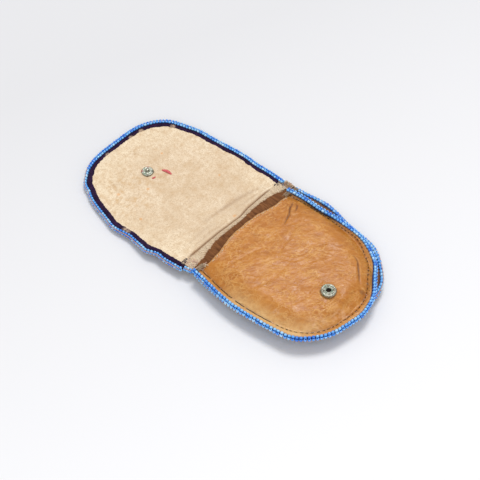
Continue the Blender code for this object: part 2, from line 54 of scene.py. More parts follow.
Outline = namedtuple(
    "Outline", "centre_x half_width straight_y tip_y power taper_left taper_right lean",
)
BACK = Outline(1.723, 41.5, -7.65, -87.1, 3.0, 4.0, 2.0, 0.0)
FRONT = Outline(-0.477, 40.2, -7.65, -89.3, 3.15, 5.0, 5.0, 0.0)
FLAP = Outline(0.123, 41.9, 1.7, 89.5, 3.5, 2.8, 2.8, -1.9)

MOUTH_Y = -6.3
FOLD_LINE = -7.5
FLAP_FOLD_LINE = -1.958
FOLD_Z = 7.1
BACK_EDGE_Z = 5.0
FRONT_EDGE_Z = 9.5
SEAM_Z = 8.0
MOUTH_Z = 11.85
CROWN_Z = 13.45
HALF_PANEL = 0.6
SEAM_INSET = 3.0
ROLL_WIDTH = 13.0
FLAP_SAG = 4.9
FLAP_CURL = 1.6
LINING_BASE_Y = -1.2
CLOTH_BASE_Y = -1.75
CLOTH_BAND = 2.6
SNAP_X = -3.2
SOCKET_Y = -71.66
SOCKET_SEAT = 14.05
STUD_Y = 62.2
HIDE_UNDER = 0.95
WELT_LEFT, WELT_WIDTH = -37.6, 75.6
BACKING_LEFT, BACKING_WIDTH, BACKING_START = -37.2, 75.0, -12.0
TAB_X, TAB_Z = 40.4, 7.7

# Where hand work has pulled an edge out of its even outline: x, y, reach, shift in x, shift in y
FRONT_PULLS = [
    (38.5, -31, 11, -1.6, 0), (37, -60, 9, 1.2, 0), (23, -83.5, 10, -1.8, 2.4),
    (0, -89.3, 8, 0, -1.5), (-33, -73, 10, -1.4, -0.9), (-37, -9.5, 5, -1, 0),
]
BACK_PULLS = [
    (42.5, -30, 12, 2, 0), (36.5, -66, 11, 2.3, -0.9), (24, -83, 10, 0.5, -1.2), (-39.5, -45, 26, 0.8, 0),
]
FLAP_PULLS = [
    (40.9, 17, 9, -1.1, 0), (30.5, 77, 8, 0.7, 0.4), (37, 62, 7, 0.7, 0.1),
    (-42.5, 48, 5, -0.9, 0), (-42.8, 35.5, 5, 1.1, 0), (-42.3, 22, 3.5, -0.9, 0),
    (-41.8, 15, 3, 0.9, 0), (-33, 80, 4, -0.5, 0.3), (-36, 75, 3, 0.5, 0),
]

# Edges of the welt where the lining meets the mouth: its pocket side, then the crease
WELT_EDGE = [
    (-38.5, -7.3), (-34, -7.0), (-28.4, -6.3), (-21.8, -4.3), (-15.7, -3.0), (-9.6, -2.8), (0.5, -3.2),
    (7.6, -3.2), (12.7, -2.8), (18.7, -2.7), (24.8, -3.2), (31, -4.4), (35, -6.2), (38.5, -7.2),
]
CREASE = [(-38, 0.4), (-24, 0.3), (-10.6, 0.1), (0, -0.5), (6, -0.9), (13.4, 0.1), (28, 0.3), (39, 0.5)]

# Creases of the front leather and of the hide: points, depth and width
CREASES = [
    ([(31, -17), (28.6, -18.4), (25.7, -19.5), (21.5, -22.6), (17.9, -23.8), (14.5, -25.2)], 0.55, 0.55),
    ([(32.1, -18.3), (30.6, -20.6), (28.4, -22.2), (24.8, -23.6)], 0.45, 0.45),
    ([(24.6, -66), (22.8, -69.8), (19.3, -73), (16.6, -75.8), (13.2, -78.9)], 0.5, 0.55),
    ([(14.4, -78), (11.4, -81.4), (9.6, -84)], 0.3, 0.9),
    ([(10.5, -79.5), (3, -82.8), (-8, -83.6), (-18, -80.5)], 0.4, 1.5),
    ([(22, -28.5), (12, -33), (3, -34.5), (-6, -38)], 0.2, 0.8),
    ([(-14, -33), (-5, -37.5), (0, -46), (7, -49)], 0.22, 0.6),
    ([(-30, -20), (-18, -23), (-4, -27.5)], 0.22, 0.8),
    ([(-31, -40), (-16, -45), (-2, -44)], 0.2, 0.9),
    ([(0, -50), (12, -55), (22, -53)], 0.2, 0.8),
    ([(-24, -62), (-12, -66), (0, -64.5)], 0.25, 0.7),
]
DARK_CREASES = CREASES[:3]
HIDE_FOLDS = [
    ([(34, 4.1), (16.3, 9.6), (3.6, 11.2), (-11.2, 12.2)], 0.5, 2.4),
    ([(36, 2.2), (20, 4.4), (6, 5.2)], 0.28, 1.1),
    ([(-2, 2.6), (-13.1, 4.4), (-28.8, 3.4)], 0.42, 0.9),
    ([(-32, 6.5), (-18, 8), (-4, 7)], 0.26, 1.2),
    ([(-3.4, 80.2), (1, 77), (4, 75.6)], 0.22, 1.2),
    ([(-24, 70), (-20, 66)], 0.2, 1.2),
]

# Small marks: x, y and size
LEATHER_PALE_SPOTS = [
    (8.9, -32.6, 1.4), (14.3, -43.8, 1.2), (20.9, -53.9, 1.6), (-29.6, -59.2, 1.0), (-13.9, -58.2, 1.8),
    (3, -24, 1.0), (-22, -66, 1.3),
]
HIDE_STAINS = [
    (4.6, 2, 0.9), (-11.7, 53.1, 0.8), (12, 66, 0.6), (-30, 40, 0.7), (22, 30, 0.5), (-26, 62, 0.9),
]
HIDE_SMEARS = [(0.5, 79), (-22, 68), (-2, 52), (2, 56)]
CLOTH_PATCHES = [(14.9, 85.6, 1.7), (7.5, 86.2, 1.7), (-10.7, 86.2, 1.9), (30, 75, 1.7), (-41.7, 39.5, 2.8)]

# Painted highlights: light lines along the wrinkles of the worn leather: size of their loops, turn and
# strength
GRAIN_TURN = math.radians(47)
WEB_HIGHLIGHTS = [((11, 6, 6), 0.0, 0.7), ((9, 5, 5), 0.8, 0.45), ((14, 5, 6), -0.7, 0.6)]


def smooth(value):
    value = min(max(value, 0.0), 1.0)
    return value * value * (3 - 2 * value)


def within(value, low, high):
    return min(max(value, low), high)


def bell(value, width):
    return math.exp(-(value / width) ** 2)


def fbm(x, y, z, octaves):
    """Layered noise between about -1 and 1."""
    return noise.fractal(Vector((x, y, z)), 0.9, 2.1, octaves)


def along(points, x):
    """Value of a line of (x, value) points at x."""
    if x <= points[0][0]:
        return points[0][1]
    for (x0, y0), (x1, y1) in zip(points, points[1:]):
        if x <= x1:
            return y0 + (y1 - y0) * smooth((x - x0) / (x1 - x0))
    return points[-1][1]


def to_line(points, x, y):
    """Distance from (x, y) to a line of points, and the place along it from 0 to 1."""
    best, where = 1e9, 0.0
    for index, ((x0, y0), (x1, y1)) in enumerate(zip(points, points[1:])):
        run_x, run_y = x1 - x0, y1 - y0
        share = ((x - x0) * run_x + (y - y0) * run_y) / (run_x * run_x + run_y * run_y)
        share = within(share, 0.0, 1.0)
        gap = math.hypot(x - x0 - run_x * share, y - y0 - run_y * share)
        if gap < best:
            best, where = gap, (index + share) / (len(points) - 1)
    return best, where


def dents(lines, x, y):
    """Depth of the creases at (x, y), with a low ridge on either side of each."""
    total = 0.0
    for points, depth, width in lines:
        gap, where = to_line(points, x, y)
        if gap <= 5 * width:
            fade = math.sin(math.pi * within(where, 0.04, 0.96)) ** 0.5
            total += depth * fade * (bell(gap, width) - 0.45 * bell(gap - 2.2 * width, 1.2 * width))
    return total


def crease_shade(lines, x, y, share):
    """How dark the deepest crease is at (x, y): share is its dark width over its own width."""
    darkest = 0.0
    for points, depth, width in lines:
        gap, where = to_line(points, x, y)
        if gap < 4 * width:
            fade = math.sin(math.pi * within(where, 0.0, 1.0)) ** 0.7
            uneven = 0.8 + 0.5 * fbm(x / 1.7, y / 1.7, 8.0, 2)
            darkest = max(darkest, depth * fade * uneven * bell(gap, share * width))
    return darkest


def pulled(pulls, x, y):
    """Shift a point by the pulls near it."""
    move_x = move_y = 0.0
    for centre_x, centre_y, reach, shift_x, shift_y in pulls:
        near = math.exp(-((x - centre_x) ** 2 + (y - centre_y) ** 2) / reach ** 2)
        move_x += shift_x * near
        move_y += shift_y * near
    return x + move_x, y + move_y


def middle_x(shape, y):
    return shape.centre_x + shape.lean * smooth(abs(y - MOUTH_Y) / 60.0)


def side_share(shape, y, side):
    """Share of the width at y: each side draws in towards the mouth."""
    taper = shape.taper_right if side > 0 else shape.taper_left
    near = max(1 - abs(y - MOUTH_Y) / 38.0, 0.0)
    return 1 - taper * near * near / shape.half_width


def placed(shape, across, y):
    return middle_x(shape, y) + across * side_share(shape, y, across), y


def outline_turn(shape, turn, inset=0.0, tip=0.0):
    """(across, y) on an outline, from the right side at turn 0 through the tip to the left side."""
    cosine = math.cos(turn)
    half = shape.half_width - inset
    reach = abs(shape.tip_y - shape.straight_y) - tip
    across = half * math.copysign(abs(cosine) ** (2 / shape.power), cosine)
    rise = math.copysign(reach, shape.tip_y) * abs(math.sin(turn)) ** (2 / shape.power)
    return across, shape.straight_y + rise


def distance_inside(shape, x, y):
    """How far a point lies inside an outline, near enough for shaping its edge."""
    across = x - middle_x(shape, y)
    across = abs(across) / side_share(shape, y, across)
    rise = max((y - shape.straight_y) * math.copysign(1, shape.tip_y), 0.0)
    reach = abs(shape.tip_y - shape.straight_y)
    power = shape.power
    level = (across / shape.half_width) ** power + (rise / reach) ** power
    if level < 1e-9:
        return shape.half_width
    slope_x = (across / shape.half_width) ** (power - 1) / shape.half_width
    slope_y = (rise / reach) ** (power - 1) / reach
    slope = math.hypot(slope_x, slope_y) * level ** (1 / power - 1)
    return (1 - level ** (1 / power)) / slope


def lengths_along(points):
    lengths = [0.0]
    for first, second in zip(points, points[1:]):
        lengths.append(lengths[-1] + math.dist(first, second))
    return lengths


def evenly(lengths, count):
    """Place and share of the points that divide a line into count equal lengths."""
    place = 0
    for index in range(count + 1):
        wanted = lengths[-1] * index / count
        while place < len(lengths) - 2 and lengths[place + 1] < wanted:
            place += 1
        yield place, (wanted - lengths[place]) / (lengths[place + 1] - lengths[place])


def even_turns(shape, count):
    steps = 900
    turns = [math.pi / 2 * (index / steps) ** 2 for index in range(steps + 1)]
    lengths = lengths_along([placed(shape, *outline_turn(shape, turn)) for turn in turns])
    return [turns[place] + (turns[place + 1] - turns[place]) * share
            for place, share in evenly(lengths, count)]


def edge_path(shape, start_y, spacing, inset=0.0):
    """Evenly spaced (x, y), outward direction pairs along an outline, from +X round to -X."""
    steps, base_steps = 2400, 12
    way = math.copysign(1, shape.tip_y)
    dense = []
    for index in range(steps + 1):
        dense.append(placed(shape, *outline_turn(shape, math.pi * index / steps, inset, inset)))
    if (shape.straight_y - start_y) * way > 0:
        for step in range(1, base_steps + 1):
            y = shape.straight_y + (start_y - shape.straight_y) * step / base_steps
            dense.insert(0, placed(shape, shape.half_width - inset, y))
            dense.append(placed(shape, inset - shape.half_width, y))
    dense = [point for point in dense if (point[1] - start_y) * way >= 0]
    lengths = lengths_along(dense)
    result = []
    for place, share in evenly(lengths, max(2, round(lengths[-1] / spacing))):
        point = [a + (b - a) * share for a, b in zip(dense[place], dense[place + 1])]
        before, beyond = dense[max(place - 3, 0)], dense[min(place + 4, len(dense) - 1)]
        run = (beyond[0] - before[0], beyond[1] - before[1])
        size = math.hypot(*run)
        result.append((point, (run[1] / size * way, -run[0] / size * way)))
    return result


def seam_shift(x, y):
    """How far the front's seam strays outward: it runs nearer to the edge on the right side."""
    return 1.2 * smooth(x / 14) * smooth((y + 72) / 16)


def front_height(x, y):
    """Height of the middle of the front panel."""
    depth = distance_inside(FRONT, x, y)
    seam = SEAM_INSET - seam_shift(x, y)
    if depth < seam:
        return SEAM_Z + (FRONT_EDGE_Z - SEAM_Z) * (1 - smooth(depth / seam))
    roll = math.sin(math.pi / 2 * min((depth - seam) / ROLL_WIDTH, 1.0))
    crown = MOUTH_Z + (CROWN_Z - MOUTH_Z) * smooth((FRONT.straight_y - y) / 28.5)
    return SEAM_Z + (crown - SEAM_Z) * roll


def front_relief(x, y):
    """Wrinkles of the front leather, which run mostly along one direction."""
    depth = distance_inside(FRONT, x, y)
    fade = smooth((depth - 2.6) / 5.0)
    grain, cross = 0.68 * x - 0.73 * y, 0.73 * x + 0.68 * y
    bend = 3.5 * fbm(x / 13, y / 13, 3.0, 2)
    low = 0.34 * fbm(grain / 24, (cross + bend) / 11, 1.0, 2)
    fine = 0.17 * fbm(grain / 11, (cross + bend) / 5.0, 7.0, 2)
    fine += 0.05 * fbm(grain / 5, (cross - bend) / 3.0, 2.0, 2)
    socket = math.hypot(x - SNAP_X, y - SOCKET_Y)
    calm = smooth((socket - 3.5) / 4.0)
    seat = -0.25 * bell(socket - 6.5, 2.2)
    pucker = 0.3 * bell(depth - SEAM_INSET, 2) * fbm(x / 2.6, y / 2.6, 5.0, 2)
    return (low + fine) * fade * calm - dents(CREASES, x, y) * fade * calm + seat + pucker


def flap_height(x, y):
    """Height of the flap's inner face."""
    sag = math.sin(0.8 * math.pi * max(y - FLAP_FOLD_LINE, 0.0) / (FLAP.tip_y - FLAP_FOLD_LINE))
    across = (x - middle_x(FLAP, y)) / FLAP.half_width
    curl = FLAP_CURL * across * across * smooth((y - FLAP_FOLD_LINE) / 22.0)
    return FOLD_Z - FLAP_SAG * sag + curl


def lining_relief(x, y):
    broad = 0.16 * fbm(x / 24, y / 24, 2.0, 3) + 0.05 * fbm(x / 5, y / 5, 4.0, 3)
    return broad - dents(HIDE_FOLDS, x, y)


# Materials


def srgb(*parts):
    """Linear colour of a colour written as 0 to 255."""
    parts = [part / 255 for part in parts]
    return (*[part / 12.92 if part <= 0.04045 else ((part + 0.055) / 1.055) ** 2.4 for part in parts], 1.0)


class Finish:
    """A Principled material built from procedural nodes, laid out by object position in mm."""

    def __init__(self, name, roughness=0.6, specular=0.5, **others):
        self.material = bpy.data.materials.new(name)
        self.material.use_nodes = True
        self.tree = self.material.node_tree
        self.shader = self.tree.nodes["Principled BSDF"]
        self.fill(self.shader, {"Roughness": roughness, "Specular IOR Level": specular})
        self.fill(self.shader, {key.replace("_", " ").title(): value for key, value in others.items()})
        self.place = self.add("TexCoord", {}, "Object")
        self.colour = None

    def fill(self, node, values):
        """Set or link inputs of a node."""
        for key, value in values.items():
            if isinstance(value, bpy.types.NodeSocket):
                self.tree.links.new(value, node.inputs[key])
            else:
                node.inputs[key].default_value = value

    def add(self, kind, values, output=0, **settings):
        """Add a node, fill its inputs and return one of its outputs."""
        node = self.tree.nodes.new("ShaderNode" + kind)
        for key, value in settings.items():
            setattr(node, key, value)
        self.fill(node, values)
        return node.outputs[output]

    def mapped(self, size, turn=0.0):
        """Position measured in size mm, one number or one for each axis."""
        sizes = (size,) * 3 if isinstance(size, (int, float)) else size
        source = self.place
        if turn:
            source = self.add("Mapping", {"Vector": source, "Rotation": (0, 0, turn)})
        return self.add("Mapping", {"Vector": source, "Scale": [1 / part * 1000 for part in sizes]})

    def noise(self, size, detail=4.0, rough=0.55, warp=0.0, turn=0.0):
        """Noise whose features are about size mm."""
        return self.add("TexNoise", {
            "Vector": self.mapped(size, turn), "Scale": 1.0, "Detail": detail, "Roughness": rough,
            "Distortion": warp,
        }, "Fac")

    def cells(self, size, feature="F1", bend=0.0, turn=0.0):
        """Distance in a cell pattern, its edges bent by noise."""
        source = self.mapped(size, turn)
        if bend:
            stir = self.add("TexNoise", {"Vector": source, "Scale": 1.1, "Detail": 4.0}, "Color")
            source = self.add("VectorMath", {0: stir, 1: (bend,) * 3, 2: source}, operation="MULTIPLY_ADD")
        return self.add("TexVoronoi", {"Vector": source, "Scale": 1.0}, "Distance", feature=feature)

    def wave(self, size, direction, warp):
        values = {"Vector": self.mapped(size), "Scale": 1.0, "Distortion": warp, "Detail": 2.0}
        return self.add("TexWave", values, "Fac", bands_direction=direction)

    def ramp(self, factor, *stops):
        """Colour ramp through (place, value) stops, each value a number or a colour of 0 to 255."""
        node = self.tree.nodes.new("ShaderNodeValToRGB")
        elements = node.color_ramp.elements
        while len(elements) < len(stops):
            elements.new(0.5)
        for element, (place, value) in zip(elements, stops):
            element.position = place
            element.color = srgb(*value) if isinstance(value, tuple) else (value, value, value, 1)
        self.fill(node, {"Fac": factor})
        return node.outputs["Color"]

    def fade(self, factor, low, high, end=1.0, start=0.0):
        """From start where the factor is low to end where it is high."""
        return self.ramp(factor, (low, start), (high, end))

    def mix(self, factor, first, second):
        return self.add("Mix", {0: factor, 6: first, 7: second}, 2, data_type="RGBA")

    def tint(self, factor, *rgb):
        """Lay a colour over the material's own by a factor."""
        self.colour = self.mix(factor, self.colour, srgb(*rgb))

    def maths(self, operation, first, second, clamp=False):
        return self.add("Math", {0: first, 1: second}, operation=operation, use_clamp=clamp)

    def times(self, first, second):
        return self.maths("MULTIPLY", first, second)

    def spot(self, x, y, radius, soft):
        """1 within radius mm of (x, y) seen from above, fading to 0 over soft mm."""
        shifted = self.add("VectorMath", {0: self.place, 1: (x * MM, y * MM, 0)}, operation="SUBTRACT")
        flat = self.add("VectorMath", {0: shifted, 1: (1000, 1000, 0)}, operation="MULTIPLY")
        return self.add("MapRange", {
            "Value": self.add("VectorMath", {0: flat}, "Value", operation="LENGTH"),
            "From Min": radius, "From Max": radius + soft, "To Min": 1.0, "To Max": 0.0,
        }, "Result", interpolation_type="SMOOTHSTEP")

    def attribute(self, name):
        return self.add("Attribute", {}, "Fac", attribute_name=name)

    def bump(self, height, depth, strength, under=None):
        """Bump of depth mm from a height, over another bump if one is given."""
        values = {"Strength": strength, "Distance": depth * MM, "Height": height}
        if under is not None:
            values["Normal"] = under
        return self.add("Bump", values, "Normal")

    def done(self, normal=None, roughness=None):
        links = {"Base Color": self.colour, "Roughness": roughness, "Normal": normal}
        self.fill(self.shader, {key: value for key, value in links.items() if value is not None})
        return self.material


def tan_leather():
    mat = Finish("worn_tan_leather")
    streaks = mat.noise((14, 7, 8), 4, 0.6, 1.2, GRAIN_TURN)
    patches = mat.noise((24, 13, 20), 3, 0.5, 0.6, GRAIN_TURN)
    tones = mat.ramp(
        streaks, (0.3, (158, 90, 22)), (0.45, (184, 113, 32)),
        (0.58, (197, 127, 42)), (0.72, (210, 145, 64)),
    )
    mat.colour = mat.mix(0.4, tones, mat.mix(patches, srgb(200, 124, 36), srgb(174, 104, 26)))
    mat.tint(mat.fade(mat.noise(1.7, 5, 0.65), 0.35, 0.75, 0.45), 166, 97, 32)
    web_highlights = None
    # Painted highlight: thin light lines along the leather's wrinkles
    for size, turn, strength in WEB_HIGHLIGHTS:
        web_highlight = mat.noise(size, 3, 0.5, 1.0, GRAIN_TURN + turn)
        web_highlight = mat.ramp(web_highlight, (0.465, 0.0), (0.5, strength), (0.535, 0.0))
        web_highlights = web_highlight if web_highlights is None else mat.maths("MAXIMUM", web_highlights, web_highlight)
    web_highlights = mat.times(web_highlights, mat.fade(mat.noise(9, 3), 0.4, 0.6, 1.0, 0.15))
    mat.tint(web_highlights, 224, 168, 92)
    cracks = mat.cells((6.5, 4.0, 5), "DISTANCE_TO_EDGE", 1.4, GRAIN_TURN)
    small = mat.cells((2.6, 1.9, 2), "DISTANCE_TO_EDGE", 1.2, GRAIN_TURN)
    lines = mat.maths(
        "ADD", mat.fade(cracks, 0.0, 0.05, 0.0, 0.45), mat.fade(small, 0.0, 0.07, 0.0, 0.2), clamp=True,
    )
    mat.tint(mat.times(lines, mat.fade(mat.noise(8, 3), 0.38, 0.6, 1.0, 0.1)), 222, 166, 94)
    pale = mat.times(mat.attribute("worn"), mat.fade(mat.noise(3.5, 4), 0.35, 0.6, 1.0, 0.5))
    mat.tint(mat.times(pale, 0.95), 230, 188, 126)
    # Painted highlight: rosy light patches where the leather rolls over near the tip
    rosy_highlight = mat.maths("MAXIMUM", mat.spot(-8, -84.5, 2, 6), mat.spot(-20, -79, 2, 6))
    mat.tint(mat.times(rosy_highlight, mat.fade(mat.noise(2.5, 4), 0.42, 0.65, 0.5)), 232, 184, 140)
    mat.tint(mat.times(mat.spot(10.6, -83.0, 0.4, 1.8), 0.6), 120, 70, 34)
    # Pale spots scattered over the front leather
    spotted = mat.fade(mat.noise(1.2, 5), 0.4, 0.7, 0.6)
    for x, y, size in LEATHER_PALE_SPOTS:
        mat.tint(mat.times(mat.spot(x, y, 0.3, size * 2), spotted), 228, 188, 160)
    # Painted highlight along the mouth's lip and the outer edge of the front, from the rim attribute
    mat.tint(mat.fade(mat.attribute("rim"), 0.0, 1.0, 0.8), 206, 156, 98)
    # Painted shade in the dark creases and along the seam's groove
    mat.tint(mat.fade(mat.attribute("groove_shade"), 0.0, 1.0, 0.85), 104, 56, 28)
    height = mat.maths("ADD", mat.times(mat.noise(0.7, 3, 0.5), 0.22), streaks)
    normal = mat.bump(height, 0.34, 0.8)
    normal = mat.bump(mat.fade(cracks, 0.0, 0.2, 0.0, 1.0), 0.1, 0.8, normal)
    normal = mat.bump(web_highlights, 0.16, 0.9, normal)
    return mat.done(normal, mat.fade(mat.noise(3.5, 4), 0.3, 0.7, 0.48, 0.3))


def suede(name, dark, light, size):
    mat = Finish(name, 0.95, 0.15, sheen_weight=0.15)
    streaks = mat.noise(size, 5, 0.6, 0.8)
    nap = mat.noise(0.4, 4, 0.7)
    mat.colour = mat.ramp(streaks, (0.3, dark), (0.7, light))
    mat.tint(mat.fade(nap, 0.4, 0.8, 0.4), *dark)
    return mat.done(mat.bump(nap, 0.2, 0.6, mat.bump(streaks, 0.4, 0.6)))


def brown_leather():
    mat = Finish("brown_leather", 0.55)
    tone = mat.noise(9, 5, 0.6)
    mat.colour = mat.ramp(tone, (0.3, (98, 62, 38)), (0.7, (136, 90, 56)))
    mat.tint(mat.fade(mat.noise((3, 7, 3), 5, 0.7, 0.8), 0.6, 0.8, 0.45), 168, 122, 82)
    return mat.done(mat.bump(mat.cells(0.9), 0.14, 0.8), mat.fade(tone, 0.3, 0.7, 0.65, 0.45))


def cream_hide():
    mat = Finish("cream_hide", 0.92, 0.2, sheen_weight=0.1)
    broad = mat.noise(17, 4, 0.55, 0.5)
    mottle = mat.noise(3.2, 5, 0.62)
    nap = mat.noise(0.45, 4, 0.7)
    mat.colour = mat.ramp(broad, (0.3, (224, 200, 168)), (0.5, (238, 217, 188)), (0.7, (248, 230, 203)))
    edges = mat.maths("SUBTRACT", 1.0, mat.spot(2, 38, 24, 26))
    mat.tint(mat.times(edges, 0.75), 255, 238, 208)
    mat.tint(mat.fade(mottle, 0.42, 0.7, 0.55), 210, 174, 130)
    mat.tint(mat.fade(mat.noise(1.1, 4, 0.7), 0.5, 0.62, 0.5), 202, 172, 136)
    mat.tint(mat.fade(nap, 0.42, 0.66, 0.6), 190, 160, 124)
    mat.tint(mat.times(mat.spot(-22, 58, 3, 20), mat.fade(mottle, 0.5, 0.66, 0.5)), 208, 166, 112)
    worn = mat.maths("MAXIMUM", mat.spot(14, 3, 4, 14), mat.spot(-14, 4, 3, 12))
    mat.tint(mat.times(worn, 0.35), 206, 180, 150)
    for x, y, size in HIDE_STAINS:
        mat.tint(mat.times(mat.spot(x, y, 0.2, size * 1.6), 0.6), 224, 156, 84)
    smeared = mat.fade(mottle, 0.45, 0.65, 0.5)
    for x, y in HIDE_SMEARS:
        mat.tint(mat.times(mat.spot(x, y, 0.5, 5), smeared), 196, 160, 118)
    # Painted shade in the crease and the folds of the hide and in the welt's hollows
    mat.tint(mat.fade(mat.attribute("groove_shade"), 0.0, 1.0, 0.85), 132, 86, 48)
    return mat.done(mat.bump(nap, 0.2, 0.8, mat.bump(mottle, 0.18, 0.7)))


def dark_cloth():
    mat = Finish("purple_cloth", 0.95, 0.1, sheen_weight=0.05)
    weave = mat.times(mat.wave(0.16, "X", 0.5), mat.wave(0.16, "Y", 0.5))
    mat.colour = mat.ramp(mat.noise(2.5, 5, 0.65), (0.3, (26, 11, 36)), (0.7, (56, 30, 70)))
    mat.tint(mat.fade(weave, 0.3, 0.9, 0.4), 70, 44, 84)
    mat.tint(mat.fade(mat.noise(0.9, 5, 0.7), 0.58, 0.68, 0.5), 116, 78, 90)
    threadbare = mat.fade(mat.noise(0.8, 4), 0.35, 0.5, 0.9)
    for x, y, size in CLOTH_PATCHES:
        patch = mat.times(mat.spot(x, y, size * 0.4, size * 0.8), threadbare)
        mat.tint(mat.times(patch, mat.attribute("rim")), 206, 176, 150)
    return mat.done(mat.bump(weave, 0.09, 0.9))


def bead_glass():
    mat = Finish("blue_bead_glass", 0.16, 0.6, coat_weight=0.4, coat_roughness=0.08)
    mat.colour = mat.ramp(
        mat.attribute("shade"), (0.0, (42, 122, 228)), (0.35, (92, 176, 252)),
        (0.7, (144, 210, 255)), (1.0, (198, 236, 255)),
    )
    streak = mat.noise((0.35, 0.35, 0.9), 3, 0.6)
    mat.tint(mat.fade(streak, 0.35, 0.75, 0.3), 56, 136, 232)
    return mat.done(mat.bump(streak, 0.03, 0.5), mat.fade(mat.noise(0.8, 3), 0.35, 0.7, 0.26, 0.12))


def twisted_thread(name, dark, light):
    mat = Finish(name, 0.85, 0.25)
    twist = mat.wave(0.12, "DIAGONAL", 2.0)
    mat.colour = mat.mix(mat.noise(1.4, 4, 0.6), srgb(*dark), srgb(*light))
    mat.tint(mat.fade(twist, 0.2, 0.6, 0.0, 0.5), *dark)
    return mat.done(mat.bump(twist, 0.06, 0.8))


def snap_metal():
    mat = Finish("tarnished_snap_metal", 0.42, metallic=0.75)
    blotch = mat.noise(0.8, 5, 0.65)
    mat.colour = mat.ramp(blotch, (0.3, (82, 83, 72)), (0.48, (162, 163, 148)), (0.7, (234, 235, 222)))
    mat.tint(mat.fade(mat.noise(1.3, 4, 0.6, 0.5), 0.52, 0.64, 0.75), 84, 134, 104)
    mat.tint(mat.fade(mat.noise(0.6, 4, 0.6), 0.66, 0.74, 0.7), 112, 74, 52)
    return mat.done(mat.bump(blotch, 0.08, 0.7), mat.fade(blotch, 0.3, 0.7, 0.34, 0.6))


TAN = tan_leather()
BROWN = brown_leather()
INSIDE = suede("ribbed_brown_suede", (88, 50, 26), (148, 98, 58), (1.2, 8, 4))
REAR = suede("brown_suede", (104, 70, 44), (150, 106, 68), (9, 7, 9))
HIDE = cream_hide()
ROLLED = suede("pale_rolled_leather", (168, 134, 102), (228, 200, 168), (2.5, 2, 2))
CLOTH = dark_cloth()
BEADS = bead_glass()
METAL = snap_metal()
DARK_THREAD = twisted_thread("dark_thread", (34, 24, 22), (78, 56, 44))
TAN_THREAD = twisted_thread("tan_thread", (190, 146, 130), (238, 204, 186))
GREY_THREAD = twisted_thread("grey_brown_thread", (128, 104, 82), (200, 178, 150))
CORE_THREAD = twisted_thread("navy_thread", (22, 40, 92), (52, 84, 150))
RED_THREAD = twisted_thread("red_thread", (204, 74, 84), (240, 140, 140))
PALE_THREAD = twisted_thread("pale_thread", (206, 186, 156), (244, 232, 210))


# Mesh making


def linked(name, data):
    item = bpy.data.objects.new(name, data)
    bpy.context.collection.objects.link(item)
    return item


def make(name, points, faces, material, body, slot, **attributes):
    """Turn points in mm and faces into a piece that rides on a body; given two bodies, it is left
    unattached with its transform baked.
    """
    mesh = bpy.data.meshes.new(name)
    mesh.from_pydata([[part * MM for part in point] for point in points], [], faces)
    mesh.validate()
    mesh.shade_smooth()
    mesh.materials.append(material)
    for key, values in attributes.items():
        layer = mesh.attributes.new(key, "FLOAT", "POINT")
        layer.data.foreach_set("value", values)
    outward = bmesh.new()
    outward.from_mesh(mesh)
    bmesh.ops.recalc_face_normals(outward, faces=outward.faces)
    outward.to_mesh(mesh)
    outward.free()
    item = linked(name, mesh)
    if isinstance(body, str):
        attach(item, body)
    else:
        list(body)
        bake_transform(item)
    return item


def numbered(start, count, wide):
    """Point numbers of count rows, each of them wide points long."""
    return [list(range(start + row * wide, start + (row + 1) * wide)) for row in range(count)]


def joined(rows):
    """Faces between each row of point numbers and the next."""
    faces = []
    for first, second in zip(rows, rows[1:]):
        for corners in zip(first, first[1:], second[1:], second):
            corners = list(dict.fromkeys(corners))
            if len(corners) > 2:
                faces.append(corners)
    return faces


def slab(top, bottom, ends):
    """Faces of a sheet with two sides, closed along both flanks and at the rows named in ends."""
    faces = joined(top) + joined(bottom)
    for end in ends:
        faces += joined([top[end], bottom[end]])
    for flank in (0, -1):
        faces += joined([[row[flank] for row in top], [row[flank] for row in bottom]])
    return faces


def plate(columns, rows, place):
    """Points and faces of a two-sided sheet: place gives the point at a column, row and side."""
    points = [place(column, row, top) for top in (True, False)
              for column in range(columns + 1) for row in range(rows + 1)]
    sheets = [numbered(start, columns + 1, rows + 1) for start in (0, len(points) // 2)]
    return points, slab(*sheets, (0, -1))


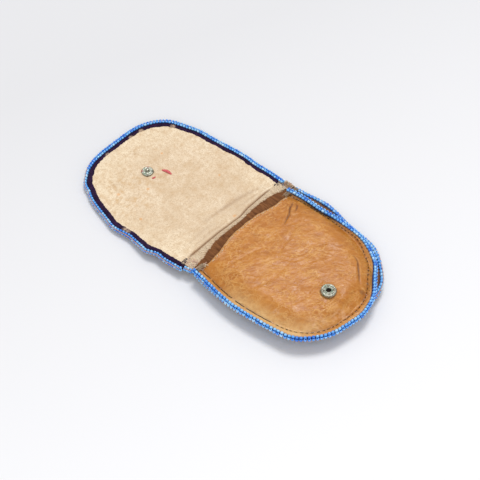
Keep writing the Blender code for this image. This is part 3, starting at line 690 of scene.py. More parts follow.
class Bundle:
    """Many small closed forms gathered into one mesh, with a shade for each."""

    def __init__(self):
        self.points, self.faces, self.shades = [], [], []

    def add(self, points, faces, shade):
        start = len(self.points)
        self.points += [tuple(point) for point in points]
        self.faces += [[start + index for index in face] for face in faces]
        self.shades += [shade] * len(points)

    def tube(self, line, radius, sides=5, taper=True):
        """Round thread along a line of points."""
        line = [Vector(point) for point in line]
        points, side = [], None
        for index, point in enumerate(line):
            run = line[min(index + 1, len(line) - 1)] - line[max(index - 1, 0)]
            run = run.normalized() if run.length > 1e-9 else Vector((1, 0, 0))
            if side is None:
                side = run.orthogonal().normalized()
            side = (side - run * side.dot(run)).normalized()
            other = run.cross(side)
            size = radius * 0.35 if taper and index in (0, len(line) - 1) else radius
            for step in range(sides):
                angle = 2 * math.pi * step / sides
                points.append(point + side * (size * math.cos(angle)) + other * (size * math.sin(angle)))
        rings = numbered(0, len(line), sides)
        faces = joined([ring + ring[:1] for ring in rings])
        self.add(points, faces + [rings[0][::-1], rings[-1]], 0.5)

    def lathe(self, profile, centre, axis=(0, 0, 1), sides=24, shade=0.5, end_painted_shade=None):
        """Turn (radius, height) points about an axis through centre."""
        spin = Vector((0, 0, 1)).rotation_difference(Vector(axis))
        points, rings = [], []
        for radius, height in profile:
            count = sides if radius > 0 else 1
            rings.append(list(range(len(points), len(points) + count)))
            for step in range(count):
                angle = 2 * math.pi * step / sides
                offset = Vector((radius * math.cos(angle), radius * math.sin(angle), height))
                points.append(Vector(centre) + spin @ offset)
        rows = [ring + ring[:1] if len(ring) > 1 else ring * (sides + 1) for ring in rings]
        if len(rings[0]) > 1 and len(rings[-1]) > 1:
            rows.append(rows[0])
        self.add(points, joined(rows), shade)
        # Painted shade: the two rings at each end of a form take a darker value
        if end_painted_shade is not None:
            start = len(self.shades) - len(points)
            for ring in rings[:2] + rings[-2:]:
                for index in ring:
                    self.shades[start + index] = end_painted_shade

    def make(self, name, material, body, slot="sinew_thread"):
        return make(name, self.points, self.faces, material, body, slot, shade=self.shades)


def rounded(points, steps):
    """Smooth line through points."""
    points = [Vector(point) for point in points]
    padded = [2 * points[0] - points[1]] + points + [2 * points[-1] - points[-2]]
    result = []
    for a, b, c, d in zip(padded, padded[1:], padded[2:], padded[3:]):
        for step in range(steps):
            t = step / steps
            result.append(0.5 * (2 * b + (c - a) * t + (2 * a - 5 * b + 4 * c - d) * t * t
                                 + (3 * b - a - 3 * c + d) * t ** 3))
    result.append(points[-1])
    return result


def tip_inset(inset):
    """How far a ring lies inside the tip: past the rolled edge it is less than at the sides."""
    near = ROLL_WIDTH / 2
    return inset if inset <= near else near + (inset - near) * 0.35


def halves(shape, line, base_y, base_steps, placer):
    """Right and left half of a ring, its line carried down to base_y and moved by placer."""
    for step in range(1, base_steps + 1):
        line.insert(0, (line[0][0], shape.straight_y + (base_y - shape.straight_y) * step / base_steps))
    return [[placer(*placed(shape, side * across, y)) for across, y in line] for side in (1, -1)]


def leaf(shape, insets, count, base_y, placer, *heights):
    """Points, faces and insets of a two-sided sheet made of U-shaped rings about a middle line.

    placer moves an (x, y) grid point, and each height gives z at (x, y, inset).
    """
    turns = even_turns(shape, count)
    base_steps = 6 if abs(base_y - shape.straight_y) > 0.3 else 0
    reach = abs(shape.tip_y - shape.straight_y)
    end = reach - tip_inset(shape.half_width)
    rings = []
    for inset in insets:
        line = [outline_turn(shape, turn, inset, tip_inset(inset)) for turn in turns]
        right, left = halves(shape, line, base_y, base_steps, placer)
        rings.append((inset, right + left[-2::-1]))
    line = []
    for turn in turns:
        rise = end * abs(outline_turn(shape, turn)[1] - shape.straight_y) / reach
        line.append((0.0, shape.straight_y + math.copysign(rise, shape.tip_y)))
    rings.append((shape.half_width, halves(shape, line, base_y, base_steps, placer)[0]))
    points, depths, sheets = [], [], []
    for height in heights:
        grid = []
        for inset, ring in rings:
            grid += numbered(len(points), 1, len(ring))
            points += [(x, y, height(x, y, inset)) for x, y in ring]
            depths += [inset] * len(ring)
        grid[-1] += grid[-1][-2::-1]
        sheets.append(grid)
    return points, slab(*sheets, (0,)), depths


# Front of the pocket


def mouth_dip(x):
    across = (x - FRONT.centre_x) / FRONT.half_width
    wave = math.sin(math.pi * (x - FRONT.centre_x) / 50.0) ** 2
    uneven = 0.3 * fbm(x / 4.5, 0.0, 9.0, 3)
    ends = smooth((1.04 - abs(across)) / 0.22)
    return 0.75 + (3.3 * wave * wave + uneven) * (0.1 + 0.9 * ends)


def front_place(x, y):
    share = (FRONT.straight_y - y) / (FRONT.straight_y - FRONT.tip_y)
    return pulled(FRONT_PULLS, x, y - mouth_dip(x) * (1 - min(share, 1.0)) ** 3)


def below_mouth(x, y):
    return FRONT.straight_y - mouth_dip(x) - y


def front_top(x, y, inset):
    """Height of the leather's outer face, with the turned lip along the mouth."""
    from_edge = max(below_mouth(x, y), 0.0)
    lip = 0.45 * bell(from_edge, 0.7)
    welt = 0.22 * bell(from_edge - 1.5, 0.8)
    ripple = 0.2 * math.exp(-from_edge / 3.0) * fbm(x / 2.4, 0.0, 6.0, 2)
    inside = smooth((inset - 3.0) / 4.0)
    lower = 0.55 * math.exp(-from_edge / 7.0)
    return front_height(x, y) + HALF_PANEL + front_relief(x, y) - lip - lower + (welt + ripple) * inside


def front_bottom(x, y, inset):
    return front_height(x, y) - HALF_PANEL + 0.02


def make_front():
    insets = [0.0, 0.7, 1.4, 2.0, 2.5, 3.0, 3.5, 4.1]
    for limit, step in ((17, 0.65), (FRONT.half_width - 1.2, 0.75)):
        while insets[-1] < limit:
            insets.append(insets[-1] + step)
    points, faces, depths = leaf(
        FRONT, insets, 170, FRONT.straight_y, front_place, front_top, front_bottom,
    )
    rim, groove_shade, worn = [], [], []
    for (x, y, z), depth in zip(points, depths):
        # rim: painted highlight along the mouth's lip and the outer edge
        rim.append(max(bell(below_mouth(x, y), 0.9), 0.7 * bell(depth, 1.6)))
        # groove_shade: painted shade in the dark creases and along the seam
        crease = crease_shade(DARK_CREASES, x, y, 0.75)
        seam = depth - SEAM_INSET + seam_shift(x, y)
        groove_shade.append(min(1.0, 3.2 * crease + 0.45 * bell(seam, 0.5)))
        seam_side = smooth((-24 - y) / 16) * smooth((y + 86) / 10) * smooth(-x / 10)
        worn.append(seam_side * math.exp(-(max(depth - 2.8, 0.0) / 4.0) ** 1.5))
    item = make("front_leather", points, faces, TAN, "pocket", "front_leather",
                rim=rim, groove_shade=groove_shade, worn=worn)
    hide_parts("front_panel")


def surface_point(x, y, lift):
    return x, y, front_top(x, y, distance_inside(FRONT, x, y)) + lift


def make_front_stitches():
    """Dark stitches round the front: single ones, then a long thread on the left side."""
    rng = random.Random(SEED)
    dark, pale = Bundle(), Bundle()
    path = []
    for (x, y), out in edge_path(FRONT, FRONT.straight_y - 1.5, 0.35, 2.7):
        shift = seam_shift(x, y)
        path.append((pulled(FRONT_PULLS, x + out[0] * shift, y + out[1] * shift), out))
    count = len(path)

    def beside(place, reach, lift, slip=0.0):
        (x, y), out = path[place]
        return surface_point(x + out[0] * reach + slip, y + out[1] * reach, lift)

    index = 6
    while index < count - 8:
        length = rng.choice((3, 4, 5))
        if index / count < 0.72:
            line = [beside(index + step, 0.12 * math.sin(step * 2.1 + index), 0.12)
                    for step in range(length + 1)]
            dark.tube(line, 0.17 if rng.random() < 0.8 else 0.24, 6)
            if rng.random() < 0.35:
                dark.tube([beside(index + 2, 0.9, 0.1), beside(index + 2, 1.2, 0.1, 0.3)], 0.15, 6)
            index += rng.choice((2, 3, 4))
        index += length
    long_line = [beside(place, 0.25 * fbm(place / 9, 0.0, 2.0, 2), 0.1)
                 for place in range(int(count * 0.74), count - 4)]
    for start in range(0, len(long_line) - 8, 24):
        dark.tube(long_line[start:start + 25 - (start // 24) % 3 * 3], 0.2, 6)
    for place in range(4, count - 6, 9):
        reach = 0.5 + 0.5 * rng.random()
        if rng.random() < 0.5:
            line = [beside(place, -reach, 0.03), beside(place, 0.0, 0.2), beside(place, reach, 0.05)]
            pale.tube(line, 0.12)
    dark.make("front_seam_stitches", DARK_THREAD, "pocket")
    pale.make("front_seam_loops", TAN_THREAD, "pocket")


# Beads


# Direction that the turned-up wraps face
TURNED_SIDE = (0.73, 0.68)

# Half outline of a bead: shares of its radius and of its half length
BEAD_PROFILE = [
    (0.3, -0.7), (0.52, -1), (0.84, -0.74), (1, -0.26), (1, 0.26), (0.84, 0.74), (0.52, 1), (0.3, 0.7),
]


def bead_wrap(beads, rng, middle, outward, orbit, radius, lean, shade):
    """Three beads on one wrap of thread round a point of the edge."""
    tangent = Vector((-outward.y, outward.x, 0))
    length = 2 * orbit * math.sin(math.radians(36)) * 0.98
    for angle in (70, 0, -70):
        turn = math.radians(angle + lean + rng.uniform(-4, 4))
        centre = middle + outward * (orbit * math.cos(turn))
        centre += Vector((0, 0, orbit * math.sin(turn))) + tangent * rng.uniform(-0.07, 0.07)
        axis = (Vector((0, 0, math.cos(turn))) - outward * math.sin(turn)).normalized()
        axis = (axis + tangent * rng.uniform(-0.1, 0.1)).normalized()
        own_radius = radius * rng.uniform(0.95, 1.02)
        own = within(shade + rng.uniform(-0.28, 0.28), 0.0, 1.0)
        half = length * rng.uniform(0.94, 1.0) / 2
        profile = [(own_radius * wide, half * high) for wide, high in BEAD_PROFILE]
        # The ends of each bead take a darker value: painted shade where the beads meet
        beads.lathe(profile, centre, axis, 10, own, max(own - 0.5, 0.0))


def make_strip_beads():
    """Wraps on the left end of the strip, which join the flap's beads to the pocket's."""
    rng = random.Random(SEED + 6)
    beads, threads = Bundle(), Bundle()
    line = []
    for index in range(3):
        middle = Vector((-38.6 + 0.45 * index, -3.0 - 1.7 * index, FOLD_Z - 0.75))
        outward = Vector((-1, -0.15, 0)).normalized()
        bead_wrap(beads, rng, middle, outward, 1.0, 0.8, 10, rng.random())
        line.append(middle + outward * 1.0 + Vector((0, 0, 1.05)))
    threads.tube([line[0] + Vector((0, 0.7, 0)), *line, line[-1] + Vector((0, -0.6, 0))], 0.18, 6)
    beads.make("strip_beads", BEADS, "strip", "blue_beads")
    threads.make("strip_beads_thread", TAN_THREAD, "strip")


def make_beads(name, shape, start_y, pitch, reach, edge_z, body, node, seed, pulls, thread_angles,
               turn_up, rise, loose=()):
    """Wraps of three beads each over a panel's edge, and the thread that holds them.

    Along the right side and the tip of the flap the wraps are turned up onto the panel's face.
    A loose wrap stands out from the edge.
    """
    rng = random.Random(seed)
    beads, threads, inner = Bundle(), Bundle(), Bundle()
    path = [(pulled(pulls, *point), out) for point, out in edge_path(shape, start_y, pitch)]
    radius = min(reach * 0.44, pitch * 0.46)
    orbit = reach - radius
    core = []
    previous = 0.5
    ups = [smooth((out[0] * TURNED_SIDE[0] + out[1] * TURNED_SIDE[1] + 0.1) / 0.8) for _, out in path]
    for index, ((x, y), out) in enumerate(path):
        z = edge_z(x, y) + rise * ups[index]
        core.append((x + out[0] * 0.25, y + out[1] * 0.25, z))
        outward = Vector((out[0], out[1], 0))
        push = 0.14 * fbm(index / 7, 0.0, seed, 2)
        drift = 7 * fbm(index / 9, 3.0, seed, 2)
        for loose_x, loose_y in loose:
            push += 0.75 * math.exp(-((x - loose_x) ** 2 + (y - loose_y) ** 2) / 1.8)
        previous = 0.35 * previous + 0.65 * rng.random()
        bead_wrap(beads, rng, Vector((x, y, z)) + outward * (0.3 + push), outward, orbit, radius,
                  drift + turn_up * ups[index], previous)
    inner.tube(core, radius * 0.8, 8, taper=False)
    far = orbit + radius * 0.6
    for angle in thread_angles:
        line = []
        for index, ((x, y), out) in enumerate(path):
            turn = math.radians(angle - 25 * ups[index])
            away = 0.3 + far * math.cos(turn)
            height = edge_z(x, y) + rise * ups[index] + far * math.sin(turn) + 0.18 * math.sin(index * 2.4)
            line.append((x + out[0] * away, y + out[1] * away, height))
        threads.tube(line, 0.22, taper=False)
    item = beads.make(name, BEADS, body, "blue_beads")
    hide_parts(node)
    threads.make(name + "_thread", TAN_THREAD, body)
    inner.make(name + "_core", CORE_THREAD, body)


# Flap


def flap_place(x, y):
    move = along(CREASE, x) + 0.1 - LINING_BASE_Y
    return pulled(FLAP_PULLS, x, y + move * (1 - smooth((y - LINING_BASE_Y) / 7.0)))


def crease_share(x):
    """How sharply the crease shows: it fades towards both corners."""
    return smooth((33.5 - abs(x + 0.5)) / 4.0)


def lining_top(x, y, inset):
    start = y - along(CREASE, x)
    lip = 0.5 * crease_share(x) * bell(max(start, 0.0), 0.6)
    swell = 0.24 * crease_share(x) * bell(start - 1.9, 1.4)
    return flap_height(x, y) + lining_relief(x, y) - lip + swell


def lining_bottom(x, y, inset):
    return flap_height(x, y) - HIDE_UNDER


def make_lining():
    insets = [1.0, 1.8, 2.6, 3.4]
    while insets[-1] < FLAP.half_width - 1.5:
        insets.append(insets[-1] + 1.15)
    points, faces, depths = leaf(FLAP, insets, 105, LINING_BASE_Y, flap_place, lining_top, lining_bottom)
    groove_shade = []
    for x, y, z in points:
        # Painted shade in the crease and the folds
        fold = crease_shade(HIDE_FOLDS, x, y, 0.5)
        groove_shade.append(min(1.0, crease_share(x) * bell(y - along(CREASE, x), 1.0) + fold))
    item = make("hide_lining", points, faces, HIDE, "flap", "cream_hide", groove_shade=groove_shade)
    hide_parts("flap_lining")


def cloth_under(x, y):
    wobble = 0.12 * fbm(x / 9, y / 9, 6.0, 3)
    return max(flap_height(x, y) - 2.2 + min(wobble, 0.0), 0.02)


def make_cloth():
    """One layer of cloth: the turned-up band, round the rim, and across the outside."""
    turns = even_turns(FLAP, 150)
    points, grid = [], []

    def ring(inset, tip, height):
        line = [outline_turn(FLAP, turn, inset, tip) for turn in turns]
        right, left = halves(FLAP, line, CLOTH_BASE_Y, 5, lambda x, y: pulled(FLAP_PULLS, x, y))
        flat = right + left[-2::-1]
        row = numbered(len(points), 1, len(flat))[0]
        points.extend((x, y, height(x, y)) for x, y in flat)
        grid.append(row)
        return row

    for share, lift in ((1.0, 0.02), (0.93, 0.26), (0.6, 0.3), (0.3, 0.26)):
        inset = CLOTH_BAND * share
        row = ring(inset, inset, lambda x, y: flap_height(x, y) + lift)
        if share > 0.9:
            for index in row:
                x, y, z = points[index]
                uneven = 0.5 * fbm(x / 5, y / 5, 3.0, 3) + 0.35 * fbm(x / 1.1, y / 1.1, 8.0, 2)
                inside = (0.05 + uneven) * share
                tip = smooth((y - 55) / 30)
                nudge = Vector((-math.copysign(1 - tip * 0.6, x - middle_x(FLAP, y)), -tip))
                nudge = nudge.normalized() * inside
                points[index] = (x + nudge.x, y + nudge.y, z)
    for drop in (0.2, 1.9):
        ring(0.0, 0.0, lambda x, y: flap_height(x, y) - drop)
    for inset in (0.6, 1.6, 3.2, 6.0, 10.0, 15.0, 21.0, 27.0, 33.0, 38.0):
        last = ring(inset, tip_inset(inset), cloth_under)
    half = len(last) // 2 + 1
    faces = joined(grid) + joined([last[:half], last[:-half - 1:-1]])
    band = [1.0 if z > flap_height(x, y) - 0.3 else 0.0 for x, y, z in points]
    item = make("flap_cloth", points, faces, CLOTH, "flap", "dark_cloth", rim=band)
    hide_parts("flap_cover")


# Welt and inside of the mouth


WELT_BODY = ("strip", "flap", (0, -3.0 * MM, FOLD_Z * MM), (0, -0.9 * MM, FOLD_Z * MM))
MOUTH_BODY = (
    "pocket", "strip",
    (0, (FOLD_LINE - 1.0) * MM, FOLD_Z * MM), (0, (FOLD_LINE + 1.0) * MM, FOLD_Z * MM),
)


def make_welt():
    """Rolled edge of the hide along the mouth, from the pocket side to the crease."""
    columns, rows = 230, 12
    groove_shade = []

    def place(column, row, top):
        x = WELT_LEFT + WELT_WIDTH * column / columns
        low, high = along(WELT_EDGE, x), along(CREASE, x)
        if not top:
            groove_shade.append(0.0)
            return x, low + (high - low) * row / rows, FOLD_Z - HIDE_UNDER
        low += 0.45 * fbm(x / 1.8, 0.0, 1.0, 3)
        lumps = 0.1 * fbm(x / 1.6, 1.0, 4.0, 3)
        share = row / rows
        u = 2 * share - 1
        y = low + (high - low) * share
        bulge = (1 - u * u) ** 0.5
        notch = abs(math.sin(math.pi * (x + 0.9 * u * (high - low) / 2) / 1.45))
        z = FOLD_Z + 0.1 + (0.16 + 0.4 * notch + lumps) * bulge + 0.05 * fbm(x / 1.2, y / 1.2, 2.0, 2)
        # Painted shade at both edges of the welt and in the hollows between its ridges
        edge = crease_share(x) * bell(rows - row, 1.6)
        strand = (0.8 + 0.8 * fbm(x / 3, 0.0, 2.0, 2)) * (1 - notch) ** 1.3
        groove_shade.append(min(1.0, 0.95 * bell(row, 1.3) + edge + strand))
        return x, y, z - 0.25 * (1 - bulge)

    points, faces = plate(columns, rows, place)
    item = make("mouth_welt", points, faces, HIDE, WELT_BODY, "cream_hide", groove_shade=groove_shade)
    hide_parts("hinge_strip")
    rng = random.Random(SEED + 5)
    dashes = Bundle()
    for index in range(56):
        x = -36 + 72 * index / 55 + rng.uniform(-0.3, 0.3)
        low, high = along(WELT_EDGE, x), along(CREASE, x)
        middle = (low + high) / 2
        slant = 0.35 + 0.2 * rng.random()
        width = (high - low) * 0.32
        line = rounded([
            (x - slant, middle - width, FOLD_Z + 0.5), (x, middle, FOLD_Z + 0.68),
            (x + slant, middle + width, FOLD_Z + 0.5),
        ], 3)
        dashes.tube(line, rng.uniform(0.1, 0.17))
    dashes.make("welt_stitches", PALE_THREAD, WELT_BODY)


def make_backing():
    """Brown leather of the back, carried on over the fold and under the welt."""
    columns, rows = 100, 22

    def place(column, row, top):
        x = BACKING_LEFT + BACKING_WIDTH * column / columns
        y = BACKING_START + (along(WELT_EDGE, x) + 0.9 - BACKING_START) * row / rows
        if top:
            return x, y, FOLD_Z + 0.16 + 0.12 * fbm(x / 1.5, y / 7, 2.0, 3) * smooth((y + 12.5) / 2)
        return x, y, FOLD_Z - 1.05 if y > FOLD_LINE + 0.3 else FOLD_Z + 0.02

    make("mouth_backing", *plate(columns, rows, place), INSIDE, MOUTH_BODY, "back_leather")


# Snap fastener: outlines of its halves as (radius, height), and where the socket's sewing holes lie


SOCKET_PROFILE = [
    (1.45, 0.2), (1.7, 0.05), (3.7, 0.0), (4.05, 0.25), (4.1, 0.9), (4.05, 1.5), (3.8, 1.85), (3.4, 1.98),
    (2.95, 1.88), (2.7, 1.6), (2.4, 1.5), (2.15, 1.62), (1.95, 1.85), (1.7, 1.95), (1.5, 1.85), (1.45, 1.5),
]
STUD_PROFILE = [
    (0.0, 0.0), (3.15, 0.0), (3.4, 0.2), (3.4, 0.55), (3.2, 0.78), (2.8, 0.84), (2.3, 0.72), (1.6, 0.72),
    (1.2, 0.9), (1.02, 1.2), (1.02, 1.7), (1.12, 2.05), (1.06, 2.35), (0.75, 2.6), (0.0, 2.66),
]
HOLE_REACH = 2.42


def spoke(y, angle, profile):
    """Line outward from the middle of a snap half, through (distance, height) points."""
    return rounded([(SNAP_X + reach * math.cos(angle), y + reach * math.sin(angle), z)
                    for reach, z in profile], 4)


def make_snaps():
    base = SOCKET_SEAT + 0.1
    seat = flap_height(SNAP_X, STUD_Y) + 0.08
    socket, stud = Bundle(), Bundle()
    socket.lathe(SOCKET_PROFILE, (SNAP_X, SOCKET_Y, base), sides=56)
    item = socket.make("socket_metal", METAL, "pocket", "snap_metal")
    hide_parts("snap_socket")
    stud.lathe(STUD_PROFILE, (SNAP_X, STUD_Y, seat), sides=56)
    item = stud.make("stud_metal", METAL, "flap", "snap_metal")
    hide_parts("snap_stud")
    spring, floor = Bundle(), Bundle()
    for side in (-1.34, 1.34):
        ends = [(SNAP_X + half, SOCKET_Y + side, base + 1.25) for half in (-0.8, 0.8)]
        spring.tube(ends, 0.13, 8, taper=False)
    spring.make("socket_spring", METAL, "pocket", "snap_metal")
    # Painted shade: a dark disc in the socket's middle hole
    floor.lathe([(0.0, 0.02), (1.5, 0.02), (1.5, 0.3), (0.0, 0.3)], (SNAP_X, SOCKET_Y, base - 0.1))
    floor.make("socket_centre_shade", DARK_THREAD, "pocket", "snap_metal")
    rng = random.Random(SEED + 9)
    hole_shades, sewing, stud_sewing, red = Bundle(), Bundle(), Bundle(), Bundle()
    for index in range(4):
        angle = math.pi / 2 * (index + 0.5)
        hole_x, hole_y = SNAP_X + HOLE_REACH * math.cos(angle), SOCKET_Y + HOLE_REACH * math.sin(angle)
        centre = (hole_x, hole_y, base + 1.53)
        # Painted shade: a dark disc over each sewing hole
        hole_shades.lathe([(0.0, 0.0), (0.36, 0.0), (0.36, 0.03), (0.0, 0.05)], centre, sides=12)
        for turn in (-0.16, 0.02, 0.2):
            profile = [(2.45, base + 1.5), (3.35, base + 2.08), (4.2, base + 1.2), (4.5, base - 0.15)]
            sewing.tube(spoke(SOCKET_Y, angle + turn + rng.uniform(-0.04, 0.04), profile), 0.1)
        for turn in (-0.2, 0.05):
            profile = [(2.2, seat + 0.7), (3.0, seat + 0.95), (3.55, seat + 0.4), (3.7, seat - 0.1)]
            (red if index < 2 else stud_sewing).tube(spoke(STUD_Y, angle + turn, profile), 0.12)
    sewing.make("socket_sewing", GREY_THREAD, "pocket")
    hole_shades.make("socket_hole_shades", DARK_THREAD, "pocket")
    stud_sewing.make("stud_sewing", DARK_THREAD, "flap")
    # Bits of red thread left on the lining: points as x, y, lift, then radius, sides and steps
    for bit, radius, sides, steps in (
        ([(3.4, 57.2, -0.1), (3.9, 55.6, 0.4), (4.4, 53.0, 0.45), (4.9, 51.0, -0.1)], 0.55, 8, 5),
        ([(4.2, 56.6, 0.0), (4.9, 54.6, 0.35), (5.4, 52.6, -0.05)], 0.42, 7, 5),
        ([(-4.9, 56.9, -0.1), (-3.8, 56.4, 0.4), (-2.6, 56.5, -0.1)], 0.4, 8, 5),
    ):
        line = [(x, y, flap_height(x, y) + lining_relief(x, y) + lift) for x, y, lift in bit]
        red.tube(rounded(line, steps), radius, sides)
    red.make("red_thread_bits", RED_THREAD, "flap")


# Corners of the mouth


def edge_x(shape, y, side):
    rise = max((y - shape.straight_y) / (shape.tip_y - shape.straight_y), 0.0)
    across = shape.half_width * (1 - rise ** shape.power) ** (1 / shape.power)
    return placed(shape, side * across, y)[0]


def make_wraps(rng):
    """Thread wound round the pocket's edges at both ends of the mouth."""
    for name, side in (("left", -1), ("right", 1)):
        wraps = Bundle()
        for index in range(6):
            y = -9.2 - 0.42 * index + rng.uniform(-0.1, 0.1)
            top = edge_x(FRONT, y, side) * side
            low = edge_x(BACK, y, side) * side
            slip = rng.uniform(-0.5, 0.5)
            reach = 4.4 + rng.uniform(-0.6, 0.6)
            inner = front_height(side * (top - reach), y) + HALF_PANEL + 0.1
            line = [
                (top - reach, inner), (top - 2.2, FRONT_EDGE_Z + 0.85), (top - 0.2, FRONT_EDGE_Z + 0.85),
                (top + 0.5, FRONT_EDGE_Z), (max(top, low) + 0.5, FOLD_Z + 0.3), (low + 0.5, BACK_EDGE_Z),
                (low - 0.2, BACK_EDGE_Z - 0.9), (low - 2.4, BACK_EDGE_Z - 0.85), (low - 4.2, 5.5),
            ]
            points = [(side * x, y + slip * number / len(line) * 0.6, z)
                      for number, (x, z) in enumerate(line)]
            wraps.tube(rounded(points, 4), rng.uniform(0.14, 0.22), 7)
        item = wraps.make("corner_wraps_" + name, GREY_THREAD, "pocket")
        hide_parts("corner_lashing_" + name)


def make_frays(rng):
    """Loose fibres of the cloth and the hide at the ends of the crease."""
    frays, pale = Bundle(), Bundle()
    for count, low, high in ((34, -39.0, -33.5), (22, 35.6, 39.4)):
        for index in range(count):
            x, y = rng.uniform(low, high), rng.uniform(-1.3, 1.0)
            z = flap_height(x, y) + 0.3
            swing = rng.uniform(-2.0, 2.0)
            line = [
                (x, y, z),
                (x + 0.5 * swing, y + rng.uniform(-0.7, 0.5), z + rng.uniform(0.1, 0.4)),
                (x + swing, y + rng.uniform(-0.9, 0.8), z + rng.uniform(0.0, 0.3)),
            ]
            target, thick = (pale, 0.1) if index % 3 == 0 else (frays, 0.16)
            target.tube(rounded(line, 4), thick)
    frays.make("cloth_frays", CLOTH, "flap", "dark_cloth")
    pale.make("hide_frays", PALE_THREAD, "flap", "cream_hide")


def on_front(x, y):
    return front_height(x, y) + HALF_PANEL


def on_tab(x, y):
    return 9.3 - 0.35 * (x - 40.3) ** 2


def make_heaps(rng):
    """Tangles of thread ends, each kept within limits in x and y and laid at its own height."""
    anywhere, by_mouth = (-50, 50), (-50, -9.3)
    welt_x, welt_y = (-50, 37.8), (-6.3, -0.7)
    pale, tan, grey, dark = PALE_THREAD, TAN_THREAD, GREY_THREAD, DARK_THREAD
    heaps = (
        ("tab", "pocket", (TAB_X, -5.4), (1.0, 2.6), 14, (39.2, 41.6), (-8.2, -3.6), on_tab,
         (tan, grey, pale)),
        ("left_corner", "pocket", (-34.6, -9.9), (2.0, 0.9), 26, anywhere, by_mouth, on_front,
         (pale, tan, grey)),
        ("right_corner", "pocket", (35.6, -9.8), (2.2, 0.8), 18, anywhere, by_mouth, on_front,
         (grey, dark, tan)),
        ("left_inner", "pocket", (-33.6, -9.3), (2.0, 0.5), 26, anywhere, (-10.4, -8.8), FOLD_Z + 0.6,
         (pale, tan, pale)),
        ("left_welt", WELT_BODY, (-35.2, -4.4), (1.6, 2.2), 26, welt_x, welt_y, FOLD_Z + 0.4,
         (pale, tan, pale)),
        ("right_welt", WELT_BODY, (36.4, -3.4), (1.0, 2.4), 14, welt_x, welt_y, FOLD_Z + 0.4,
         (pale, grey, pale)),
        ("right_ear", WELT_BODY, (38.6, -2.4), (0.8, 0.9), 22, (37.2, 39.8), (-3.6, -0.9), FOLD_Z - 0.2,
         (pale, tan, CLOTH)),
    )
    for name, body, centre, spread, count, x_limits, y_limits, height, materials in heaps:
        bundles = [Bundle() for _ in materials]
        for index in range(count):
            x = centre[0] + rng.uniform(-1, 1) * spread[0]
            y = centre[1] + rng.uniform(-1, 1) * spread[1]
            heading, line = rng.uniform(0, 2 * math.pi), []
            for step in range(rng.choice((3, 4, 5))):
                y = within(y, *y_limits)
                base = height(x, y) if callable(height) else height
                x = within(x, *x_limits)
                lift = rng.uniform(0.0, 0.7 if body == "pocket" else 0.4)
                line.append((x, y, base + (lift if step else -0.1)))
                heading += rng.uniform(-1.3, 1.3)
                x, y = x + 0.8 * math.cos(heading), y + 0.8 * math.sin(heading)
            bundles[index % len(bundles)].tube(rounded(line, 3), rng.uniform(0.1, 0.2))
        for number, (bundle, material) in enumerate(zip(bundles, materials)):
            bundle.make(f"{name}_ends_{number}", material, body)


def make_tab():
    """Leather tab rolled up at the right corner."""
    columns, rows = 30, 8

    def place(column, row, top):
        share = column / columns
        bend = math.radians(-175 + 385 * share)
        y = -9.0 + 5.6 * row / rows + 0.4 * math.sin(bend)
        reach = 1.55 - 0.75 * share + (0.4 if top else -0.4) + 0.14 * fbm(share * 5, y / 2, 1.0, 2)
        return TAB_X + reach * math.cos(bend), y, TAB_Z + reach * math.sin(bend)

    make("corner_tab", *plate(columns, rows, place), ROLLED, "pocket", "back_leather")


# Stitches and trim of the back and the mouth


LOOP_OFFSET = 19
LOOP_HALF = 5.6
LOOP_ENDS = ((-13.4, -18.0), (-67.3, -71.9))
LOOP_STITCH = 1.9


def make_loop_stitches():
    """A box of stitches at each end of both belt loops."""
    stitches = Bundle()
    for centre in (BACK.centre_x - LOOP_OFFSET, BACK.centre_x + LOOP_OFFSET):
        left, right = centre - LOOP_HALF, centre + LOOP_HALF
        for first, last in LOOP_ENDS:
            corners = [(left, first), (right, first), (right, last), (left, last)]
            for (x0, y0), (x1, y1) in zip(corners, corners[1:] + corners[:1]):
                count = max(2, round(math.hypot(x1 - x0, y1 - y0) / LOOP_STITCH))
                for index in range(count):
                    a, b = (index + 0.15) / count, (index + 0.78) / count
                    line = [(x0 + (x1 - x0) * share, y0 + (y1 - y0) * share, z)
                            for share, z in ((a, 4.05), ((a + b) / 2, 3.86), (b, 4.05))]
                    stitches.tube(rounded(line, 3), 0.16, 6)
    stitches.make("loop_stitches", PALE_THREAD, "pocket")


def make_back_trim():
    """Strip of leather that carries the back's edge out to its beads."""
    path = edge_path(BACK, BACK.straight_y - 1.5, 1.0)
    points = []
    for (x, y), out in path:
        outer_x, outer_y = pulled(BACK_PULLS, x, y)
        far = max((outer_x - x) * out[0] + (outer_y - y) * out[1], -0.3) + 0.5
        wave = 0.12 * fbm(x / 3, y / 3, 2.0, 2)
        for reach, z in ((-1.0, 6.05), (0.3, 5.85), (far, 5.5), (far, 4.7), (0.4, 4.75), (-0.4, 4.9)):
            points.append((x + out[0] * reach, y + out[1] * reach, z + wave))
    rings = numbered(0, len(path), 6)
    faces = joined([ring + ring[:1] for ring in rings]) + [rings[0], rings[-1]]
    make("back_edge_strip", points, faces, BROWN, "pocket", "back_leather")


def make_mouth_stitches():
    rng = random.Random(SEED + 4)
    pale = Bundle()
    for index in range(50):
        x = -32 + 64 * index / 49 + rng.uniform(-0.4, 0.4)
        if rng.random() < 0.2:
            continue
        y = FRONT.straight_y - mouth_dip(x) - 1.35 + rng.uniform(-0.2, 0.2)
        half = rng.uniform(0.35, 0.65)
        pale.tube(rounded([
            surface_point(x - half, y + rng.uniform(-0.2, 0.2), -0.05), surface_point(x, y, 0.14),
            surface_point(x + half, y + rng.uniform(-0.2, 0.2), -0.05),
        ], 3), rng.uniform(0.12, 0.2))
    pale.make("mouth_stitches", PALE_THREAD, "pocket")


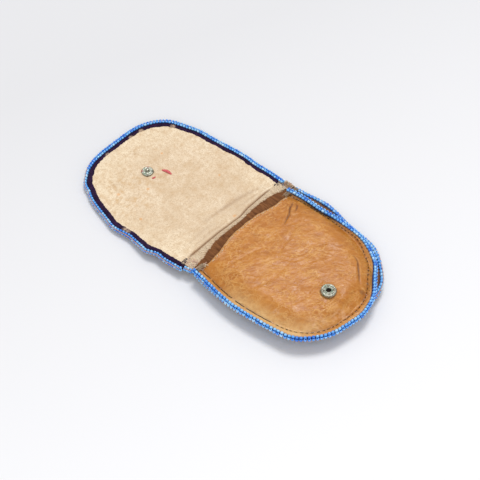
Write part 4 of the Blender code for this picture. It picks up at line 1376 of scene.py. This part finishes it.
make_front()
make_front_stitches()
make_beads(
    "front_beads", FRONT, start_y=FRONT.straight_y - 1.8, pitch=2.0, reach=2.1,
    edge_z=lambda x, y: FRONT_EDGE_Z - 0.1, body="pocket", node="front_bead_edging", seed=21,
    pulls=FRONT_PULLS, thread_angles=(-38,), turn_up=40, rise=0.4, loose=[(-17.6, -90.0)],
)
make_beads(
    "back_beads", BACK, start_y=BACK.straight_y - 1.8, pitch=2.0, reach=2.1,
    edge_z=lambda x, y: BACK_EDGE_Z, body="pocket", node="back_bead_edging", seed=22,
    pulls=BACK_PULLS, thread_angles=(-35, 35), turn_up=25, rise=0.0,
)
make_beads(
    "flap_beads", FLAP, start_y=-1.1, pitch=1.8, reach=1.9,
    edge_z=lambda x, y: flap_height(x, y) - 1.1, body="flap", node="flap_bead_edging", seed=23,
    pulls=FLAP_PULLS, thread_angles=(-35, 35), turn_up=45, rise=0.8,
)
make_strip_beads()
make_lining()
make_cloth()
make_welt()
make_backing()
make_snaps()
corner_rng = random.Random(SEED + 3)
make_wraps(corner_rng)
make_frays(corner_rng)
make_heaps(corner_rng)
make_tab()
make_loop_stitches()
make_back_trim()
make_mouth_stitches()

for node_name, finish in (("back_panel", REAR), ("belt_loop_left", BROWN), ("belt_loop_right", BROWN)):
    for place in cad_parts[node_name].material_slots:
        place.material = finish


# Camera, floor and light. The shifts are in pixels of a picture FRAME_SIZE wide.

FRAME_SIZE = 480
AZIMUTH, ELEVATION, DISTANCE = math.radians(-47.06), math.radians(52.39), 0.7
AIM = Vector((1.61, MOUTH_Y, 0)) * MM
back_off = Vector((
    math.sin(AZIMUTH) * math.cos(ELEVATION), -math.cos(AZIMUTH) * math.cos(ELEVATION), math.sin(ELEVATION),
))
lens = bpy.data.cameras.new("camera")
lens.sensor_width = 36.0
lens.lens = 96.0
lens.shift_x = -1.9 / FRAME_SIZE
lens.shift_y = -5.2 / FRAME_SIZE
lens.clip_start = 0.01
camera = linked("camera", lens)
camera.location = AIM + back_off * DISTANCE
camera.rotation_mode = "QUATERNION"
camera.rotation_quaternion = (-back_off).to_track_quat("-Z", "Y")
bpy.context.scene.camera = camera

FLOOR_REACH, FLOOR_Z = 4, -5e-5
floor_mesh = bpy.data.meshes.new("floor")
floor_mesh.from_pydata([
    (x * FLOOR_REACH, y * FLOOR_REACH, FLOOR_Z) for x, y in ((-1, -1), (1, -1), (1, 1), (-1, 1))
], [], [(0, 1, 2, 3)])
floor = linked("floor", floor_mesh)
paper = Finish("pale_floor_painted_falloff", 0.9, 0.1)
# Painted light: the floor grows lighter towards -x and -y, standing in for the fall-off of the light
slope = paper.add("VectorMath", {0: paper.place, 1: (-1.2, -3.2, 0.0)}, "Value", operation="DOT_PRODUCT")
slope = paper.maths("ADD", slope, 0.5, clamp=True)
paper.colour = paper.ramp(slope, (0.0, (222, 222, 224)), (1.0, (243, 243, 245)))
floor_mesh.materials.append(paper.done())

world = bpy.data.worlds.new("studio")
bpy.context.scene.world = world
world.use_nodes = True
background = world.node_tree.nodes["Background"]
background.inputs["Color"].default_value = (0.99, 0.99, 1.0, 1.0)
background.inputs["Strength"].default_value = 0.6

for name, location, size, watts in (
    ("key", (0.95, 0.5, 3.2), 1.3, 56.0), ("fill", (-1.9, -1.5, 2.2), 1.6, 14.0),
):
    light = bpy.data.lights.new(name, "AREA")
    light.shape = "DISK"
    light.size = size
    light.energy = watts
    lamp = linked(name, light)
    lamp.location = location
    lamp.rotation_mode = "QUATERNION"
    lamp.rotation_quaternion = (-Vector(location)).to_track_quat("-Z", "Y")

bpy.context.scene.view_settings.view_transform = "Standard"
